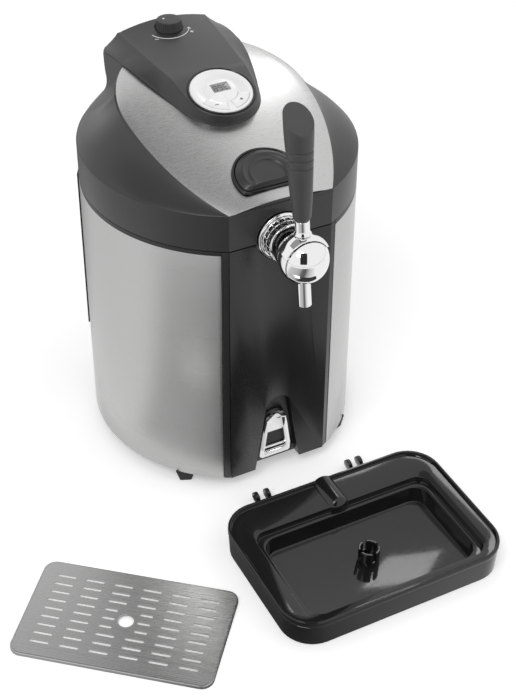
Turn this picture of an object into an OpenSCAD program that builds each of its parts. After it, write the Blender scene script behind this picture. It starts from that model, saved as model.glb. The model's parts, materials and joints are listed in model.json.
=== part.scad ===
// Mini keg beer dispenser: a cooled keg well in a steel-clad body, a hinged lid with a
// control pod, a ball tap with a long handle, a drip tray and its drip grate.
// Origin at floor level in the middle of the body's plan. +X right, +Y rear, +Z up.

/* [Body] */
// Widest width of the body
body_w = 277; // [270:1:290]
// Width of the flat front
front_w = 109; // [102:1:116]
// Depth of the body, front face to rear face
body_d = 278; // [274:1:290]
// Height of the panels' lower edge above the floor
base_z = 14; // [13:0.5:18]
// Height of the panels' upper edge above the floor
top_z = 300; // [296:1:312]
// Thickness of the steel side panels
panel_t = 1.2; // [0.8:0.1:1.6]
// Thickness of the plastic walls
shell_t = 2.5; // [2:0.1:3]
// Width of the dark strip between the front and a steel panel
post_w = 7.5; // [5:0.5:10]
// Height of the dark strip above a steel panel
rim_show = 4; // [3:0.5:5]
// Depth of the rear cover's sides
steel_back = 67; // [60:1:72]
// Thickness of the base plate
base_t = 4; // [3:0.5:5]
// Height of a foot
foot_h = 14; // [13:0.5:18]
// Width of a foot
foot_w = 20; // [16:1:24]
// Clearance between pieces that are fixed to each other
fit = 0.3; // [0.2:0.05:0.4]

/* [Front recess] */
// Depth of the recess around the tray catch
niche_d = 11; // [9:0.5:13]
// Height of the recess above the panels' lower edge
niche_h = 92; // [88:1:100]
// Width of the recess at its foot
niche_w = 52; // [48:1:58]
// Width of the tray catch at its foot
catch_w = 37; // [34:0.5:40]
// Height of the tray catch
catch_h = 59; // [54:1:64]
// Thickness of the tray catch
catch_t = 5; // [4:0.5:6]
// Height of the catch pin above the floor
catch_pin_z = 26; // [24:0.5:30]
// Radius of the catch pin
catch_pin_r = 1.5; // [1.2:0.1:2]

/* [Keg well] */
// Diameter of a five litre party keg
keg_d = 172; // [170:1:174]
// Gap between the keg and the well
keg_gap = 3; // [2:0.5:4]
// Thickness of the well
well_t = 1.2; // [0.8:0.1:2]
// Height of the well's floor above the floor
well_z = 28; // [26:1:34]
// Width of the well's flange
well_flange = 7; // [5:0.5:9]
// Room between the front face and the well
front_room = 27; // [26:0.5:30]
// Thickness of the foam jacket
foam_t = 20; // [14:1:22]

/* [Cooling] */
// Height of the cooler's centre above the floor
cooler_z = 165; // [155:1:180]
// Side of the thermoelectric module
module_w = 40; // [36:1:50]
// Thickness of the thermoelectric module
module_t = 4; // [3:0.5:5]
// Side of the fan frame
fan_w = 92; // [80:1:92]
// Depth of the fan frame
fan_d = 25; // [20:1:25]
// Number of fan blades
fan_blades = 7; // [5:1:9]
// Number of heat sink fins
fins = 13; // [9:1:15]

/* [Lid] */
// Gap between the body and the lid
lid_gap = 1; // [0.8:0.1:2]
// Height of the lid's upright band
band_h = 39; // [36:1:44]
// Slope of the straight front of the top panel, degrees
wedge_a = 17.6; // [16:0.2:19]
// Length of the straight front of the top panel
wedge_run = 69; // [64:1:74]
// Radius of the curved rear of the top panel
wedge_r = 731; // [700:1:760]
// Widest width of the top panel
wedge_w = 193; // [188:1:198]
// Distance from the lid's rear wall to the top panel's rear tip
tip_gap = 8; // [6:1:12]
// Height of the top panel's crown above its sides
crown_h = 5.5; // [4.5:0.5:6.5]
// Depth of the lid's rear wall in front of the body's rear face
lid_back = 9; // [7:0.5:11]
// Height of the hinge axis above the lid's lower edge
hinge_up = 2; // [1.5:0.5:4]
// Distance of the hinge axis behind the body's rear face
hinge_out = 7; // [6.5:0.5:8]
// Radius of a hinge knuckle
knuckle_r = 5.5; // [5:0.5:6]
// Radius of a hinge pin
hinge_pin_r = 2.5; // [2:0.1:3]
// Distance between the two hinges
hinge_gap = 90; // [84:1:96]

/* [Lid release] */
// Radius of the release button
button_r = 32; // [30:0.5:33]
// Distance of the button's centre behind the front face
button_back = 27; // [26:0.5:30]
// Distance of the button's straight edge in front of its centre
button_flat = 13; // [11:0.5:13]
// Height of the button above the top panel
button_h = 6; // [4:0.5:7]
// Travel of the button
button_travel = 3.5; // [3:0.5:4]
// Width of the bezel round the button
bezel_w = 3; // [2:0.5:4]

/* [Pod] */
// Radius of the pod's round front
pod_r = 43.2; // [42:0.2:45]
// Width of the pod at its rear
pod_w = 133; // [128:1:136]
// Width of the pod's top at its rear
pod_top_w = 98; // [94:1:102]
// Height of the pod's rear corners above the lid's highest line
pod_h = 14; // [12:0.5:16]
// Height of the pod's crown at its rear
pod_crown = 7; // [5:0.5:8]
// Distance of the display's centre in front of the body's middle
disc_front = 11.6; // [9:0.2:13]
// Height of the display's centre above the top panel's sides
disc_up = 17.3; // [16:0.1:19]
// Tilt of the display, degrees
disc_a = 14.5; // [12:0.5:16]
// Radius of the display disc
disc_r = 31.2; // [30:0.1:32]
// Width of the dark ring round the display
ring_w = 2.6; // [2:0.1:3]
// Width of the display window
window_w = 18.5; // [16:0.5:20]
// Height of the display window
window_h = 12; // [10:0.5:13]
// Radius of the pressure knob at its foot
knob_r = 14.4; // [13:0.2:15]
// Height of the pressure knob
knob_h = 10; // [9:0.5:13]
// Distance of the knob in front of the lid's rear wall
knob_in = 19; // [16:1:24]

/* [Tap] */
// Height of the tap's axis above the panels' upper edge
tap_up = 4; // [3.5:0.5:5]
// Distance from the front face to the ball's centre
tap_reach = 44; // [42:0.5:50]
// Radius of the ball
ball_r = 24; // [22:0.5:25]
// Thickness of the hood on the ball
hood_t = 1.5; // [1:0.1:2]
// Radius of the collar's flange
collar_r = 25; // [23:0.5:27]
// Number of flutes on the collar
flutes = 20; // [12:1:28]
// Radius of the shank
shank_r = 8; // [7:0.5:9]
// Radius of the beer passage
bore_r = 2.5; // [2:0.5:3]
// Radius of the spout
spout_r = 6.5; // [5.5:0.5:7]
// Length of the spout below the ball
spout_l = 26; // [20:1:30]
// Lean of the closed handle, degrees
handle_lean = 6.6; // [4:0.2:9]
// Distance from the ball's centre to the middle of the handle's top
handle_l = 139; // [130:1:150]
// Radius of the handle's top
handle_r = 13.6; // [12:0.2:14]
// Slant of the handle's top, degrees
handle_cut = 39; // [30:1:42]
// Number of grooves round the handle
handle_grooves = 3; // [2:1:4]

/* [Drip tray] */
// Width of the drip tray
tray_w = 240; // [230:1:246]
// Depth of the drip tray
tray_d = 170; // [164:1:176]
// Height of the drip tray
tray_h = 31; // [28:0.5:34]
// Wall thickness of the drip tray
tray_t = 2.5; // [2:0.1:3]
// Corner radius of the drip tray
tray_r = 34; // [28:1:38]
// Sideways place of the tray's middle
tray_x = 21; // [18:1:24]
// Distance of the tray's middle in front of the front face
tray_y = 142; // [138:1:146]
// Width of the rear ridge
ridge_w = 25; // [22:1:28]
// Distance between the two pairs of tongues
tongue_gap = 110; // [104:1:114]
// Length of a tongue behind the tray
tongue_l = 33; // [28:1:34]
// Thickness of a tongue
tongue_t = 4; // [3:0.5:5]

/* [Drip grate] */
// Width of the drip grate
grate_w = 196; // [192:1:198]
// Depth of the drip grate
grate_d = 118; // [114:1:120]
// Height of the drip grate's turned-down edge
grate_h = 4; // [3:0.5:5]
// Sheet thickness of the drip grate
grate_t = 1.2; // [0.8:0.1:1.5]
// Number of slots in a row
slot_cols = 6; // [4:1:6]
// Number of rows of slots
slot_rows = 9; // [5:2:9]
// Distance between slots in a row
slot_px = 28.8; // [26:0.2:30]
// Distance between the rows
slot_py = 10.4; // [9:0.2:11]
// Length of a slot
slot_l = 19; // [15:0.5:21]
// Width of a slot
slot_w = 3; // [2.5:0.5:4]
// Turn of the grate on the floor, degrees
grate_turn = -39.5; // [-45:0.5:-35]

/* [Hidden] */
$fn = 96;
slack = 0.5;                 // cutters reach this far past a face
run_fit = 0.05;              // radial clearance of a pin in its bore
gap = 0.35;                  // clearance between moving pieces

half_w = body_w/2;
half_f = front_w/2;
half_d = body_d/2;
swell = half_w - half_f;
side_r = (swell*swell + half_d*half_d)/(2*swell);
side_c = half_w - side_r;
body_h = top_z - base_z;
steel_back_y = half_d - steel_back;

well_ri = keg_d/2 + keg_gap;
well_ro = well_ri + well_t;
keg_y = -half_d + front_room + well_ro;
foam_ri = well_ro + fit;
foam_ro = foam_ri + foam_t;
rim_t = 8;

module_y = keg_y + well_ro + 8;
sink_y = module_y + module_t + 2*fit;
sink_t = 6;
fin_l = 18;
fan_y = sink_y + sink_t + fin_l + fit;

lid_z = top_z + lid_gap;
band_z = lid_z + band_h;
hinge_y = half_d + hinge_out;
hinge_z = lid_z + hinge_up;
bend_y = -half_d + wedge_run;
bend_z = band_z + wedge_run*tan(wedge_a);
arc_y = bend_y + wedge_r*sin(wedge_a);
arc_z = bend_z - wedge_r*cos(wedge_a);
lid_rear = half_d - lid_back;
tail_l = 55;                 // the surface dips over this length, under the pod
tail_drop = 4;
tail_y = lid_rear - tail_l;
tail_z = arc_z + sqrt(wedge_r*wedge_r - pow(tail_y - arc_y, 2));
tail_slope = (arc_y - tail_y)/(tail_z - arc_z);
edge_swell = wedge_w/2 - half_f;
edge_r = (edge_swell*edge_swell + half_d*half_d)/(2*edge_swell);
wedge_back = lid_rear - tip_gap;
lid_stations = 26;
cheek_steps = 8;
cheek_bend_y = lid_rear - 20; // behind this the cheek stands up as a wall

button_y = -half_d + button_back;
button_z = wedge_z(button_y) + crown_h;
latch_x = 34;

disc_y = -disc_front;
disc_z = wedge_z(disc_y) + disc_up;
pod_rear = lid_rear;
pod_turn_a = 19.5;           // the round front runs into the sides at this turn
pod_side_r = 2*(pod_w/2 - pod_r*cos(pod_turn_a))/pow(tan(pod_turn_a), 2);
pod_turn_y = pod_rear - pod_side_r*tan(pod_turn_a);
pod_round_y = pod_turn_y + pod_r*sin(pod_turn_a);
pod_taper = 0.0824;
pod_wall = 5;                // upright foot of the pod's sides
pod_bend_y = disc_y + disc_r*cos(disc_a);
pod_bend_z = disc_z + disc_r*sin(disc_a);
pod_rear_z = tail_z + pod_h;
knob_back = pod_rear - knob_in;
knob_front_y = knob_back - knob_r;
knob_z = pod_z(knob_front_y) + pod_lift(knob_front_y);

tap_z = top_z + tap_up;
tap_y = -half_d - tap_reach;
hood_ri = ball_r + gap;
hood_ro = hood_ri + hood_t;
seam_y = 8;                  // the ball's front seam, in front of its centre
cap_z = 11.5;                // the ball's flat top under the hood
collar_front = tap_reach - hood_ro - 0.8;
collar_t = 4;
collar_in = 1;                // the collar reaches this far behind the front face
bracket_y = -half_d + 8;
bracket_t = 4;

tray_mid_y = -half_d - tray_y;
ledge_z = 20;
shelf_z = tray_h - 4;
rim_w = 12;
basin_mid = -tray_d/2 + rim_w + grate_d/2 + 1;
grate_mid = [-224.8, -half_d - 120.5];

// ---------- outlines ----------

// Half width of the body at depth y, drawn in by inset
function plan_x(y, inset = 0) = side_c + sqrt(pow(side_r - inset, 2) - y*y);

module side_disc(side, inset) {
    translate([side*side_c, 0]) circle(side_r - inset, $fn = 360);
}

// The two side arcs' discs: their common part, or their sum when the arcs' centres pass
module side_discs(inset) {
    if (side_c < 0) {
        intersection() {
            side_disc(1, inset);
            side_disc(-1, inset);
        }
    } else {
        side_disc(1, inset);
        side_disc(-1, inset);
    }
}

// Plan of the body, drawn in by inset on every side
module plan(inset = 0) {
    intersection() {
        side_discs(inset);
        square([2*body_w, body_d - 2*inset], center = true);
    }
}

// Wall of the body between two insets
module plan_wall(outer, inner) {
    difference() {
        plan(outer);
        plan(inner);
    }
}

// Sector of the plan about a side's centre, right side, angles from the front
module side_sector(a0, a1) {
    far = 2*side_r;
    translate([side_c, 0]) polygon([[0, 0], [far*sin(a0), -far*cos(a0)],
        [far*sin((a0 + a1)/2), -far*cos((a0 + a1)/2)], [far*sin(a1), -far*cos(a1)]]);
}

// Height of the top panel's sides at depth y
function wedge_z(y) = y < bend_y ? band_z + (y + half_d)*tan(wedge_a)
    : y < tail_y ? arc_z + sqrt(wedge_r*wedge_r - pow(y - arc_y, 2))
    : tail_z + tail_slope*(y - tail_y)*(1 - (y - tail_y)/tail_l) - tail_drop*pow((y - tail_y)/tail_l, 2);

// Half width of the top panel at depth y
function wedge_x(y) = y < 0
    ? wedge_w/2 - edge_r + sqrt(edge_r*edge_r - y*y)
    : wedge_w/2*pow(max(0, 1 - pow(y/wedge_back, 2)), 0.65);

// Half width of the pod's foot and of its top at depth y, behind its round front
function pod_x(y) = pod_w/2 - pow(pod_rear - y, 2)/(2*pod_side_r);
function pod_top_x(y) = pod_top_w/2 - pod_taper*(pod_rear - y);

// Height of the pod's top edge at depth y, and of its crown above that
function pod_z(y) = y < pod_bend_y
    ? disc_z + (y - disc_y)*tan(disc_a)
    : pod_bend_z + (pod_rear_z - pod_bend_z)*(y - pod_bend_y)/(pod_rear - pod_bend_y);
function pod_lift(y) = pod_crown*pow(max(0, y - pod_bend_y)/(pod_rear - pod_bend_y), 2);

// Half width of the lid's crown at depth y
function crown_x(y) = max(wedge_x(y), y > pod_turn_y ? pod_x(y) : 0);

// Height of the crowned surface at any point
function top_z(x, y) = wedge_z(y) + (1 - pow(x/crown_x(y), 2))*crown_h
    *(y < tail_y ? 1 : max(0, 1 - pow((y - tail_y)/tail_l, 2)));

top_columns = [for (i = [-5:5]) i/5];
top_rows = 32;

// Slab between two levels about the crowned surface, under the top panel's outline
module crowned(grow, low, high) {
    m = len(top_columns);
    start = -half_d - grow;
    ys = [for (i = [0:top_rows]) start + (wedge_back + grow - start)*i/top_rows];
    far = [for (y = ys) max(1, wedge_x(y) + grow)];
    under = [for (i = [0:top_rows], c = top_columns)
        [c*far[i], ys[i], top_z(c*far[i], max(ys[i], -half_d)) - low]];
    over = [for (p = under) [p[0], p[1], p[2] + low + high]];
    n = len(under);
    last = top_rows*m;
    cells = [for (i = [0:top_rows - 1], c = [0:m - 2]) i*m + c];
    flats = [for (a = cells) each [[a, a + 1, a + m + 1], [a, a + m + 1, a + m],
        [n + a, n + a + m, n + a + m + 1], [n + a, n + a + m + 1, n + a + 1]]];
    ends = [for (c = [0:m - 2]) each [[c, n + c, n + c + 1, c + 1],
        [last + c, last + c + 1, n + last + c + 1, n + last + c]]];
    sides = [for (i = [0:top_rows - 1]) each [[i*m, (i + 1)*m, n + (i + 1)*m, n + i*m],
        [i*m + m - 1, n + i*m + m - 1, n + (i + 1)*m + m - 1, (i + 1)*m + m - 1]]];
    polyhedron(concat(under, over), concat(flats, ends, sides), convexity = 6);
}

// Closed skin through rings of points; each ring runs up one side and down the other
module skin(rings) {
    n = len(rings[0]);
    half = n/2;
    last = len(rings) - 1;
    walls = [for (j = [0:last - 1]) for (i = [0:n - 1])
        let (a = j*n + i, b = (j + 1)*n + i, c = (j + 1)*n + (i + 1)%n, d = j*n + (i + 1)%n)
        each (i < half ? [[a, b, c], [a, c, d]] : [[a, b, d], [b, c, d]])];
    top = [for (i = [0:half - 2])
        [last*n + n - 1 - i, last*n + n - 2 - i, last*n + i + 1, last*n + i]];
    bottom = [for (i = [0:half - 2]) [i, i + 1, n - 2 - i, n - 1 - i]];
    polyhedron([for (ring = rings) each ring], concat(walls, top, bottom), convexity = 6);
}

// Ring of points from a right-hand list, closed by its mirror image
function mirrored(right) = concat(right,
    [for (i = [len(right) - 1:-1:0]) [-right[i][0], right[i][1], right[i][2]]]);

module ring(ro, ri, h) {
    difference() {
        cylinder(r = ro, h = h);
        translate([0, 0, -slack]) cylinder(r = ri, h = h + 2*slack);
    }
}

module rounded(size, r) {
    hull() for (x = [-1, 1], y = [-1, 1])
        translate([x*(size[0]/2 - r), y*(size[1]/2 - r)]) circle(r, $fn = 48);
}

// A cylinder along X, centred on the origin
module rod(r, l) {
    rotate([0, 90, 0]) cylinder(r = r, h = l, center = true);
}

// A cylinder that starts at the origin and runs to the rear
module shaft(r, l) {
    rotate([-90, 0, 0]) cylinder(r = r, h = l);
}

// ---------- body ----------

skirt_y = -half_d + 37;
skirt_in = 9;
skirt_h = 8;
foot_d = 10;
foot_y = half_d - 36;
foot_turn = 23;
foot_x = plan_x(foot_y, 7);

module base_plate() {
    color("#1c1d1f") {
        difference() {
            translate([0, 0, base_z]) linear_extrude(base_t) plan(shell_t + fit);
            niche_space(fit + shell_t);
        }
        difference() {
            translate([0, 0, base_z - skirt_h]) linear_extrude(skirt_h) intersection() {
                plan_wall(skirt_in, skirt_in + 3);
                translate([-half_w, skirt_y]) square([body_w, body_d]);
            }
            at_feet() translate([0, 0, foot_h/2 + fit])
                cube([foot_w + 2*fit, foot_d + 2*fit, foot_h], center = true);
        }
    }
}

module at_feet() {
    for (x = [-1, 1], y = [-1, 1])
        translate([x*foot_x, y*foot_y, base_z - foot_h]) rotate([0, 0, -x*y*foot_turn])
            children();
}

module foot() {
    hull() {
        translate([0, 0, foot_h - 1]) linear_extrude(1) square([foot_w, foot_d], center = true);
        linear_extrude(1) square([foot_w - 8, foot_d - 2], center = true);
    }
}

module feet() {
    color("#202123") at_feet() foot();
}

// Angle of the front ridge about a side's centre
ridge_a = atan((half_f - side_c)/half_d);
post_a = ridge_a + post_w/side_r*180/PI;
steel_a = 90 + asin(steel_back_y/side_r);

module side_panel() {
    color("#b9bbbd") translate([0, 0, base_z]) linear_extrude(body_h - rim_show - fit)
        intersection() {
            plan_wall(0, panel_t);
            side_sector(post_a + 0.1, steel_a);
        }
}

module right_panel() {
    side_panel();
}

module left_panel() {
    mirror([1, 0, 0]) side_panel();
}

module post() {
    color("#2b2c2e") translate([0, 0, base_z]) linear_extrude(body_h - fit) intersection() {
        plan_wall(0.5, shell_t);
        side_sector(ridge_a + 0.1, post_a);
    }
}

module right_post() {
    post();
}

module left_post() {
    mirror([1, 0, 0]) post();
}

// Outline of the front recess in the XZ plane, widened by grow
module niche_outline(grow = 0) {
    arch_r = 14.5 + grow;
    foot_half = niche_w/2 + grow;
    arch_z = base_z + niche_h - 14.5;
    translate([0, arch_z]) circle(arch_r);
    polygon([[-foot_half, base_z - slack], [foot_half, base_z - slack],
        [foot_half - 5, base_z + 30], [arch_r, arch_z], [-arch_r, arch_z],
        [-foot_half + 5, base_z + 30]]);
}

// The recess as a solid, from in front of the face to its floor, widened by grow
module niche_space(grow = 0) {
    translate([0, -half_d + niche_d + grow, 0]) rotate([90, 0, 0])
        linear_extrude(niche_d + grow + slack) niche_outline(grow);
}

module front_panel() {
    ear_x = catch_w/2 + gap + 1.5;
    color("#222325") difference() {
        union() {
            translate([0, -half_d, base_z]) linear_extrude(body_h - fit)
                polygon([[-half_f, 0], [half_f, 0], [half_f - shell_t*tan(ridge_a) - fit, shell_t],
                    [-half_f + shell_t*tan(ridge_a) + fit, shell_t]]);
            intersection() {
                niche_space(shell_t);
                translate([-half_f, -half_d, base_z]) cube([front_w, 60, body_h]);
            }
        }
        niche_space();
        translate([0, -half_d - slack, tap_z]) shaft(collar_r + 1, shell_t + 2*slack);
    }
    color("#222325") for (x = [-1, 1]) difference() {
        translate([x*ear_x - 1.5, -half_d + niche_d - 7, catch_pin_z - 4]) cube([3, 7, 8]);
        translate([x*ear_x, catch_y, catch_pin_z]) rod(catch_pin_r + run_fit, 10);
    }
}

module rear_cover() {
    leaf_w = 7;
    color("#1f2022") difference() {
        translate([0, 0, base_z]) linear_extrude(body_h - fit) intersection() {
            plan_wall(0, shell_t);
            translate([-half_w, steel_back_y + fit]) square([body_w, half_d]);
        }
        for (x = [-1, 1]) translate([x*half_w - 60, steel_back_y + 12, grille_z + 8])
            cube([120, 28, grille_h - 16]);
        translate([0, half_d - 5, cooler_z]) shaft(fan_w/2 - 3, 10);
        translate([inlet_x - 14 - fit, half_d - 5, inlet_z - 10 - fit])
            cube([28 + 2*fit, 10, 20 + 2*fit]);
        for (p = screw_places()) translate([p[0], half_d - 5, p[1]]) shaft(1.7, 10);
    }
    color("#1f2022") for (x = [-1, 1], side = [-1, 1])
        translate([x*hinge_gap/2 + side*(6 + gap + leaf_w/2), 0, 0]) difference() {
            union() {
                translate([0, hinge_y, hinge_z]) rod(knuckle_r, leaf_w);
                translate([-leaf_w/2, half_d - 0.01, hinge_z - 10])
                    cube([leaf_w, hinge_out, lid_z - hinge_z + 10 - 2*fit]);
                translate([-leaf_w/2, half_d + fit, hinge_z - 9]) cube([leaf_w, hinge_out - fit, 9]);
            }
            translate([0, hinge_y, hinge_z]) rod(hinge_pin_r + run_fit, leaf_w + 1);
        }
}

grille_z = base_z + 87;
grille_h = 190;
grille_out = 3;

// Proud louvred shell round the rear, with level slots between its uprights
module rear_grille() {
    pitch = 14;
    rows = floor((grille_h - 16)/pitch);
    color("#17181a") difference() {
        translate([0, 0, grille_z]) linear_extrude(grille_h) intersection() {
            plan_wall(-grille_out, -fit);
            translate([-half_w - 10, steel_back_y - 2]) square([body_w + 20, half_d]);
        }
        for (row = [0:rows - 1]) translate([0, 0, grille_z + 12 + row*pitch]) {
            for (x = [-1, 1]) translate([x*half_w - 60, steel_back_y + 12, 0]) cube([120, 28, 7]);
            for (x = [-32, 0, 32]) translate([x - 14, half_d - 1, 0]) cube([28, 6, 7]);
        }
    }
}

function screw_places() = [for (x = [-1, 1], z = [12, grille_z - base_z - 21])
    [x*(half_f - 8.5), base_z + z]];

screw_l = 2.8*shell_t;

module rear_screws() {
    color("#8d9093") for (p = screw_places()) translate([p[0], half_d, p[1]]) difference() {
        union() {
            translate([0, 0.05, 0]) shaft(3.2, 1.8);
            translate([0, -screw_l, 0]) shaft(1.6, screw_l + 0.2);
        }
        translate([0, 1, 0]) shaft(1.3, 2);
    }
}

module body_rim() {
    color("#26272a") difference() {
        union() {
            translate([0, 0, top_z - rim_t]) linear_extrude(rim_t) plan(shell_t + fit);
            for (side = [0, 1]) mirror([side, 0, 0])
                translate([0, 0, top_z - rim_show]) linear_extrude(rim_show) intersection() {
                    plan_wall(fit, shell_t + 1);
                    side_sector(post_a + 0.1, steel_a);
                }
        }
        translate([0, keg_y, top_z - rim_t - slack]) cylinder(r = well_ro + fit, h = rim_t + 1);
        translate([0, keg_y, top_z - well_t - fit]) cylinder(r = well_ro + well_flange + fit, h = 5);
        translate([0, -half_d - slack, tap_z]) shaft(shank_r + 1.5, front_room + 6);
        translate([-26, -half_d, top_z - rim_t - slack]) cube([52, 8 + bracket_t + fit, rim_t + 1]);
        translate([-14, -half_d, top_z - rim_t - slack]) cube([28, 18, rim_t + 1]);
        for (x = [-1, 1]) translate([x*latch_x - 5, -half_d + 6, top_z - rim_t - slack])
            cube([10, 12, rim_t + 1]);
    }
}

module keg_well() {
    color("#c3c6c8") translate([0, keg_y, 0]) difference() {
        union() {
            translate([0, 0, well_z]) cylinder(r = well_ro, h = top_z - well_z);
            translate([0, 0, top_z - well_t]) cylinder(r = well_ro + well_flange, h = well_t);
        }
        translate([0, 0, well_z + well_t]) cylinder(r = well_ri, h = top_z);
    }
}

module foam_ring() {
    foam_z = base_z + base_t + fit;
    difference() {
        translate([0, keg_y, foam_z])
            cylinder(r = foam_ro, h = top_z - rim_t - foam_z - fit);
        translate([0, keg_y, well_z - fit]) cylinder(r = foam_ri, h = top_z);
    }
}

module front_foam() {
    color("#e9e9e4") difference() {
        foam_ring();
        translate([-half_w, keg_y - fit/2, 0]) cube([body_w, half_d, 2*top_z]);
        niche_space(shell_t + fit);
        translate([-half_w, -half_d - 20, 0]) cube([body_w, 20 + shell_t + fit, 2*top_z]);
        bracket_space();
        for (x = [-1, 1]) translate([x*latch_x - 6, -half_d, top_z - rim_t - 10])
            cube([12, 20, rim_t + 10]);
    }
}

module rear_foam() {
    block_w = 60;
    color("#e9e9e4") difference() {
        foam_ring();
        translate([-half_w, keg_y + fit/2 - half_d, 0]) cube([body_w, half_d, 2*top_z]);
        translate([-block_w/2 - fit, keg_y, cooler_z - 40 - fit])
            cube([block_w + 2*fit, half_d, 80 + 2*fit]);
        translate([-half_w, sink_y - fit, 0]) cube([body_w, half_d, 2*top_z]);
    }
}

// ---------- cooler ----------

module cold_block() {
    block_w = 60;
    color("#aeb2b6") difference() {
        translate([-block_w/2, keg_y + well_ro - 8, cooler_z - 40])
            cube([block_w, module_y - keg_y - well_ro + 8 - fit, 80]);
        translate([0, keg_y, 0]) cylinder(r = foam_ri, h = 2*top_z);
    }
}

module peltier_module() {
    color("#e6e3da") translate([-module_w/2, module_y, cooler_z - module_w/2])
        cube([module_w, module_t, module_w]);
    color("#b33228") translate([module_w/2, module_y + 1, cooler_z - module_w/2 + 3])
        cube([9, 1.6, 1.6]);
}

module heat_sink() {
    sink_w = 88;
    sink_h = 92;
    fin_t = 1.4;
    step = (sink_w - fin_t)/(fins - 1);
    color("#9ea3a8") {
        translate([-sink_w/2, sink_y, cooler_z - sink_h/2]) cube([sink_w, sink_t, sink_h]);
        for (i = [0:fins - 1])
            translate([-sink_w/2 + i*step, sink_y + sink_t - 0.01, cooler_z - sink_h/2])
                cube([fin_t, fin_l, sink_h]);
    }
}

fan_r = fan_w/2 - 3;
hub_r = 17;

module fan_frame() {
    color("#151617") translate([0, fan_y, cooler_z]) difference() {
        union() {
            difference() {
                translate([-fan_w/2, 0, -fan_w/2]) cube([fan_w, fan_d, fan_w]);
                translate([0, -slack, 0]) shaft(fan_r, fan_d + 2*slack);
            }
            translate([0, fan_d - 3, 0]) shaft(hub_r, 3);
            for (a = [45:90:315]) rotate([0, a, 0])
                translate([hub_r - 2, fan_d - 3, -2]) cube([fan_r - hub_r + 4, 3, 4]);
            translate([0, fan_d - 12, 0]) shaft(4, 10);
        }
        for (x = [-1, 1], z = [-1, 1])
            translate([x*(fan_w/2 - 6), -slack, z*(fan_w/2 - 6)]) shaft(2.2, fan_d + 2*slack);
    }
}

module fan_rotor() {
    rotor_d = fan_d - 3 - 2*gap - 1;
    color("#1b1c1e") translate([0, fan_y + 1, cooler_z]) {
        difference() {
            shaft(hub_r, rotor_d);
            translate([0, 2, 0]) shaft(4 + run_fit, rotor_d);
        }
        for (i = [0:fan_blades - 1]) rotate([0, i*360/fan_blades, 0]) intersection() {
            translate([hub_r - 3, rotor_d/2, 0]) rotate([38, 0, 0])
                translate([0, -rotor_d/2 - 2, -0.9]) cube([fan_r - 1 - hub_r + 3, rotor_d + 4, 1.8]);
            translate([0, 0.5, 0]) shaft(fan_r - 1, rotor_d - 1);
        }
    }
}

inlet_x = -28;
inlet_z = base_z + 34;

module power_board() {
    board_z = base_z + base_t + fit;
    depth = 20;
    board_y = half_d - shell_t - 24 - depth;
    color("#2f6b3c") translate([-10, board_y, board_z + 6]) cube([58, depth, 1.6]);
    color("#c8a23a") translate([6, board_y + 2, board_z + 7.6]) cube([30, depth - 4, 24]);
    color("#33363a") for (x = [-8, 40]) translate([x, board_y + 2, board_z + 7.6])
        cube([6, depth - 4, 14]);
    color("#c9ccd0") for (x = [-7, 45], y = [3, depth - 3])
        translate([x, board_y + y, board_z]) cylinder(r = 2, h = 6);
}

module power_inlet() {
    color("#101112") translate([inlet_x, half_d, inlet_z]) difference() {
        union() {
            translate([-14, -16, -10]) cube([28, 16, 20]);
            translate([-17, 0.05, -13]) cube([34, 2, 26]);
            translate([-14, -1, -10]) cube([28, 2, 20]);
        }
        difference() {
            translate([-11.5, -13, -7.5]) cube([23, 16, 15]);
            for (x = [-7, 0, 7]) translate([x - 1, -14, x == 0 ? 1 : -3]) cube([2, 12, 4]);
        }
    }
}

// ---------- tap ----------

module bracket_space() {
    translate([-25 - fit, bracket_y - 3, top_z - 30]) cube([50 + 2*fit, bracket_t + 16, 60]);
}

module tap_bracket() {
    color("#3a3c3f") difference() {
        translate([-22, bracket_y, top_z - 26]) cube([44, bracket_t, tap_up + 26 + shank_r + 7]);
        translate([0, bracket_y - slack, tap_z]) shaft(shank_r + fit, bracket_t + 1);
    }
}

shank_front = -half_d + collar_in + fit;
shank_l = front_room - well_flange - 2;

module tap_shank() {
    color("#b5b8ba") translate([0, shank_front, tap_z]) difference() {
        union() {
            shaft(shank_r, shank_l);
            shaft(shank_r + 4, 6);
        }
        translate([0, -slack, 0]) shaft(bore_r, shank_l + 1);
    }
}

module shank_nut() {
    nut_y = bracket_y + bracket_t + 0.2;
    color("#8f9296") translate([0, nut_y, tap_z]) difference() {
        rotate([-90, 0, 0]) cylinder(r = shank_r + 4.5, h = 5, $fn = 6);
        translate([0, -slack, 0]) shaft(shank_r + run_fit, 6);
    }
}

module tap_collar() {
    body_l = collar_front - collar_t + collar_in;
    nut_r = collar_r - 3.5;
    color("#d9dcde") translate([0, -half_d - collar_front, tap_z]) difference() {
        union() {
            translate([0, body_l, 0]) shaft(collar_r, collar_t);
            shaft(nut_r - 2, 3);
            translate([0, 2, 0]) shaft(nut_r, body_l - 1);
        }
        for (i = [0:flutes - 1]) rotate([0, i*360/flutes, 0])
            translate([nut_r + 0.9, -slack, 0]) shaft(1.9, body_l + slack - 0.5);
        translate([0, -slack, 0]) shaft(9.5 + fit, collar_front + collar_t);
    }
}

// The ball's parts are drawn about its centre
module at_ball() {
    translate([0, tap_y, tap_z]) children();
}

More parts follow.
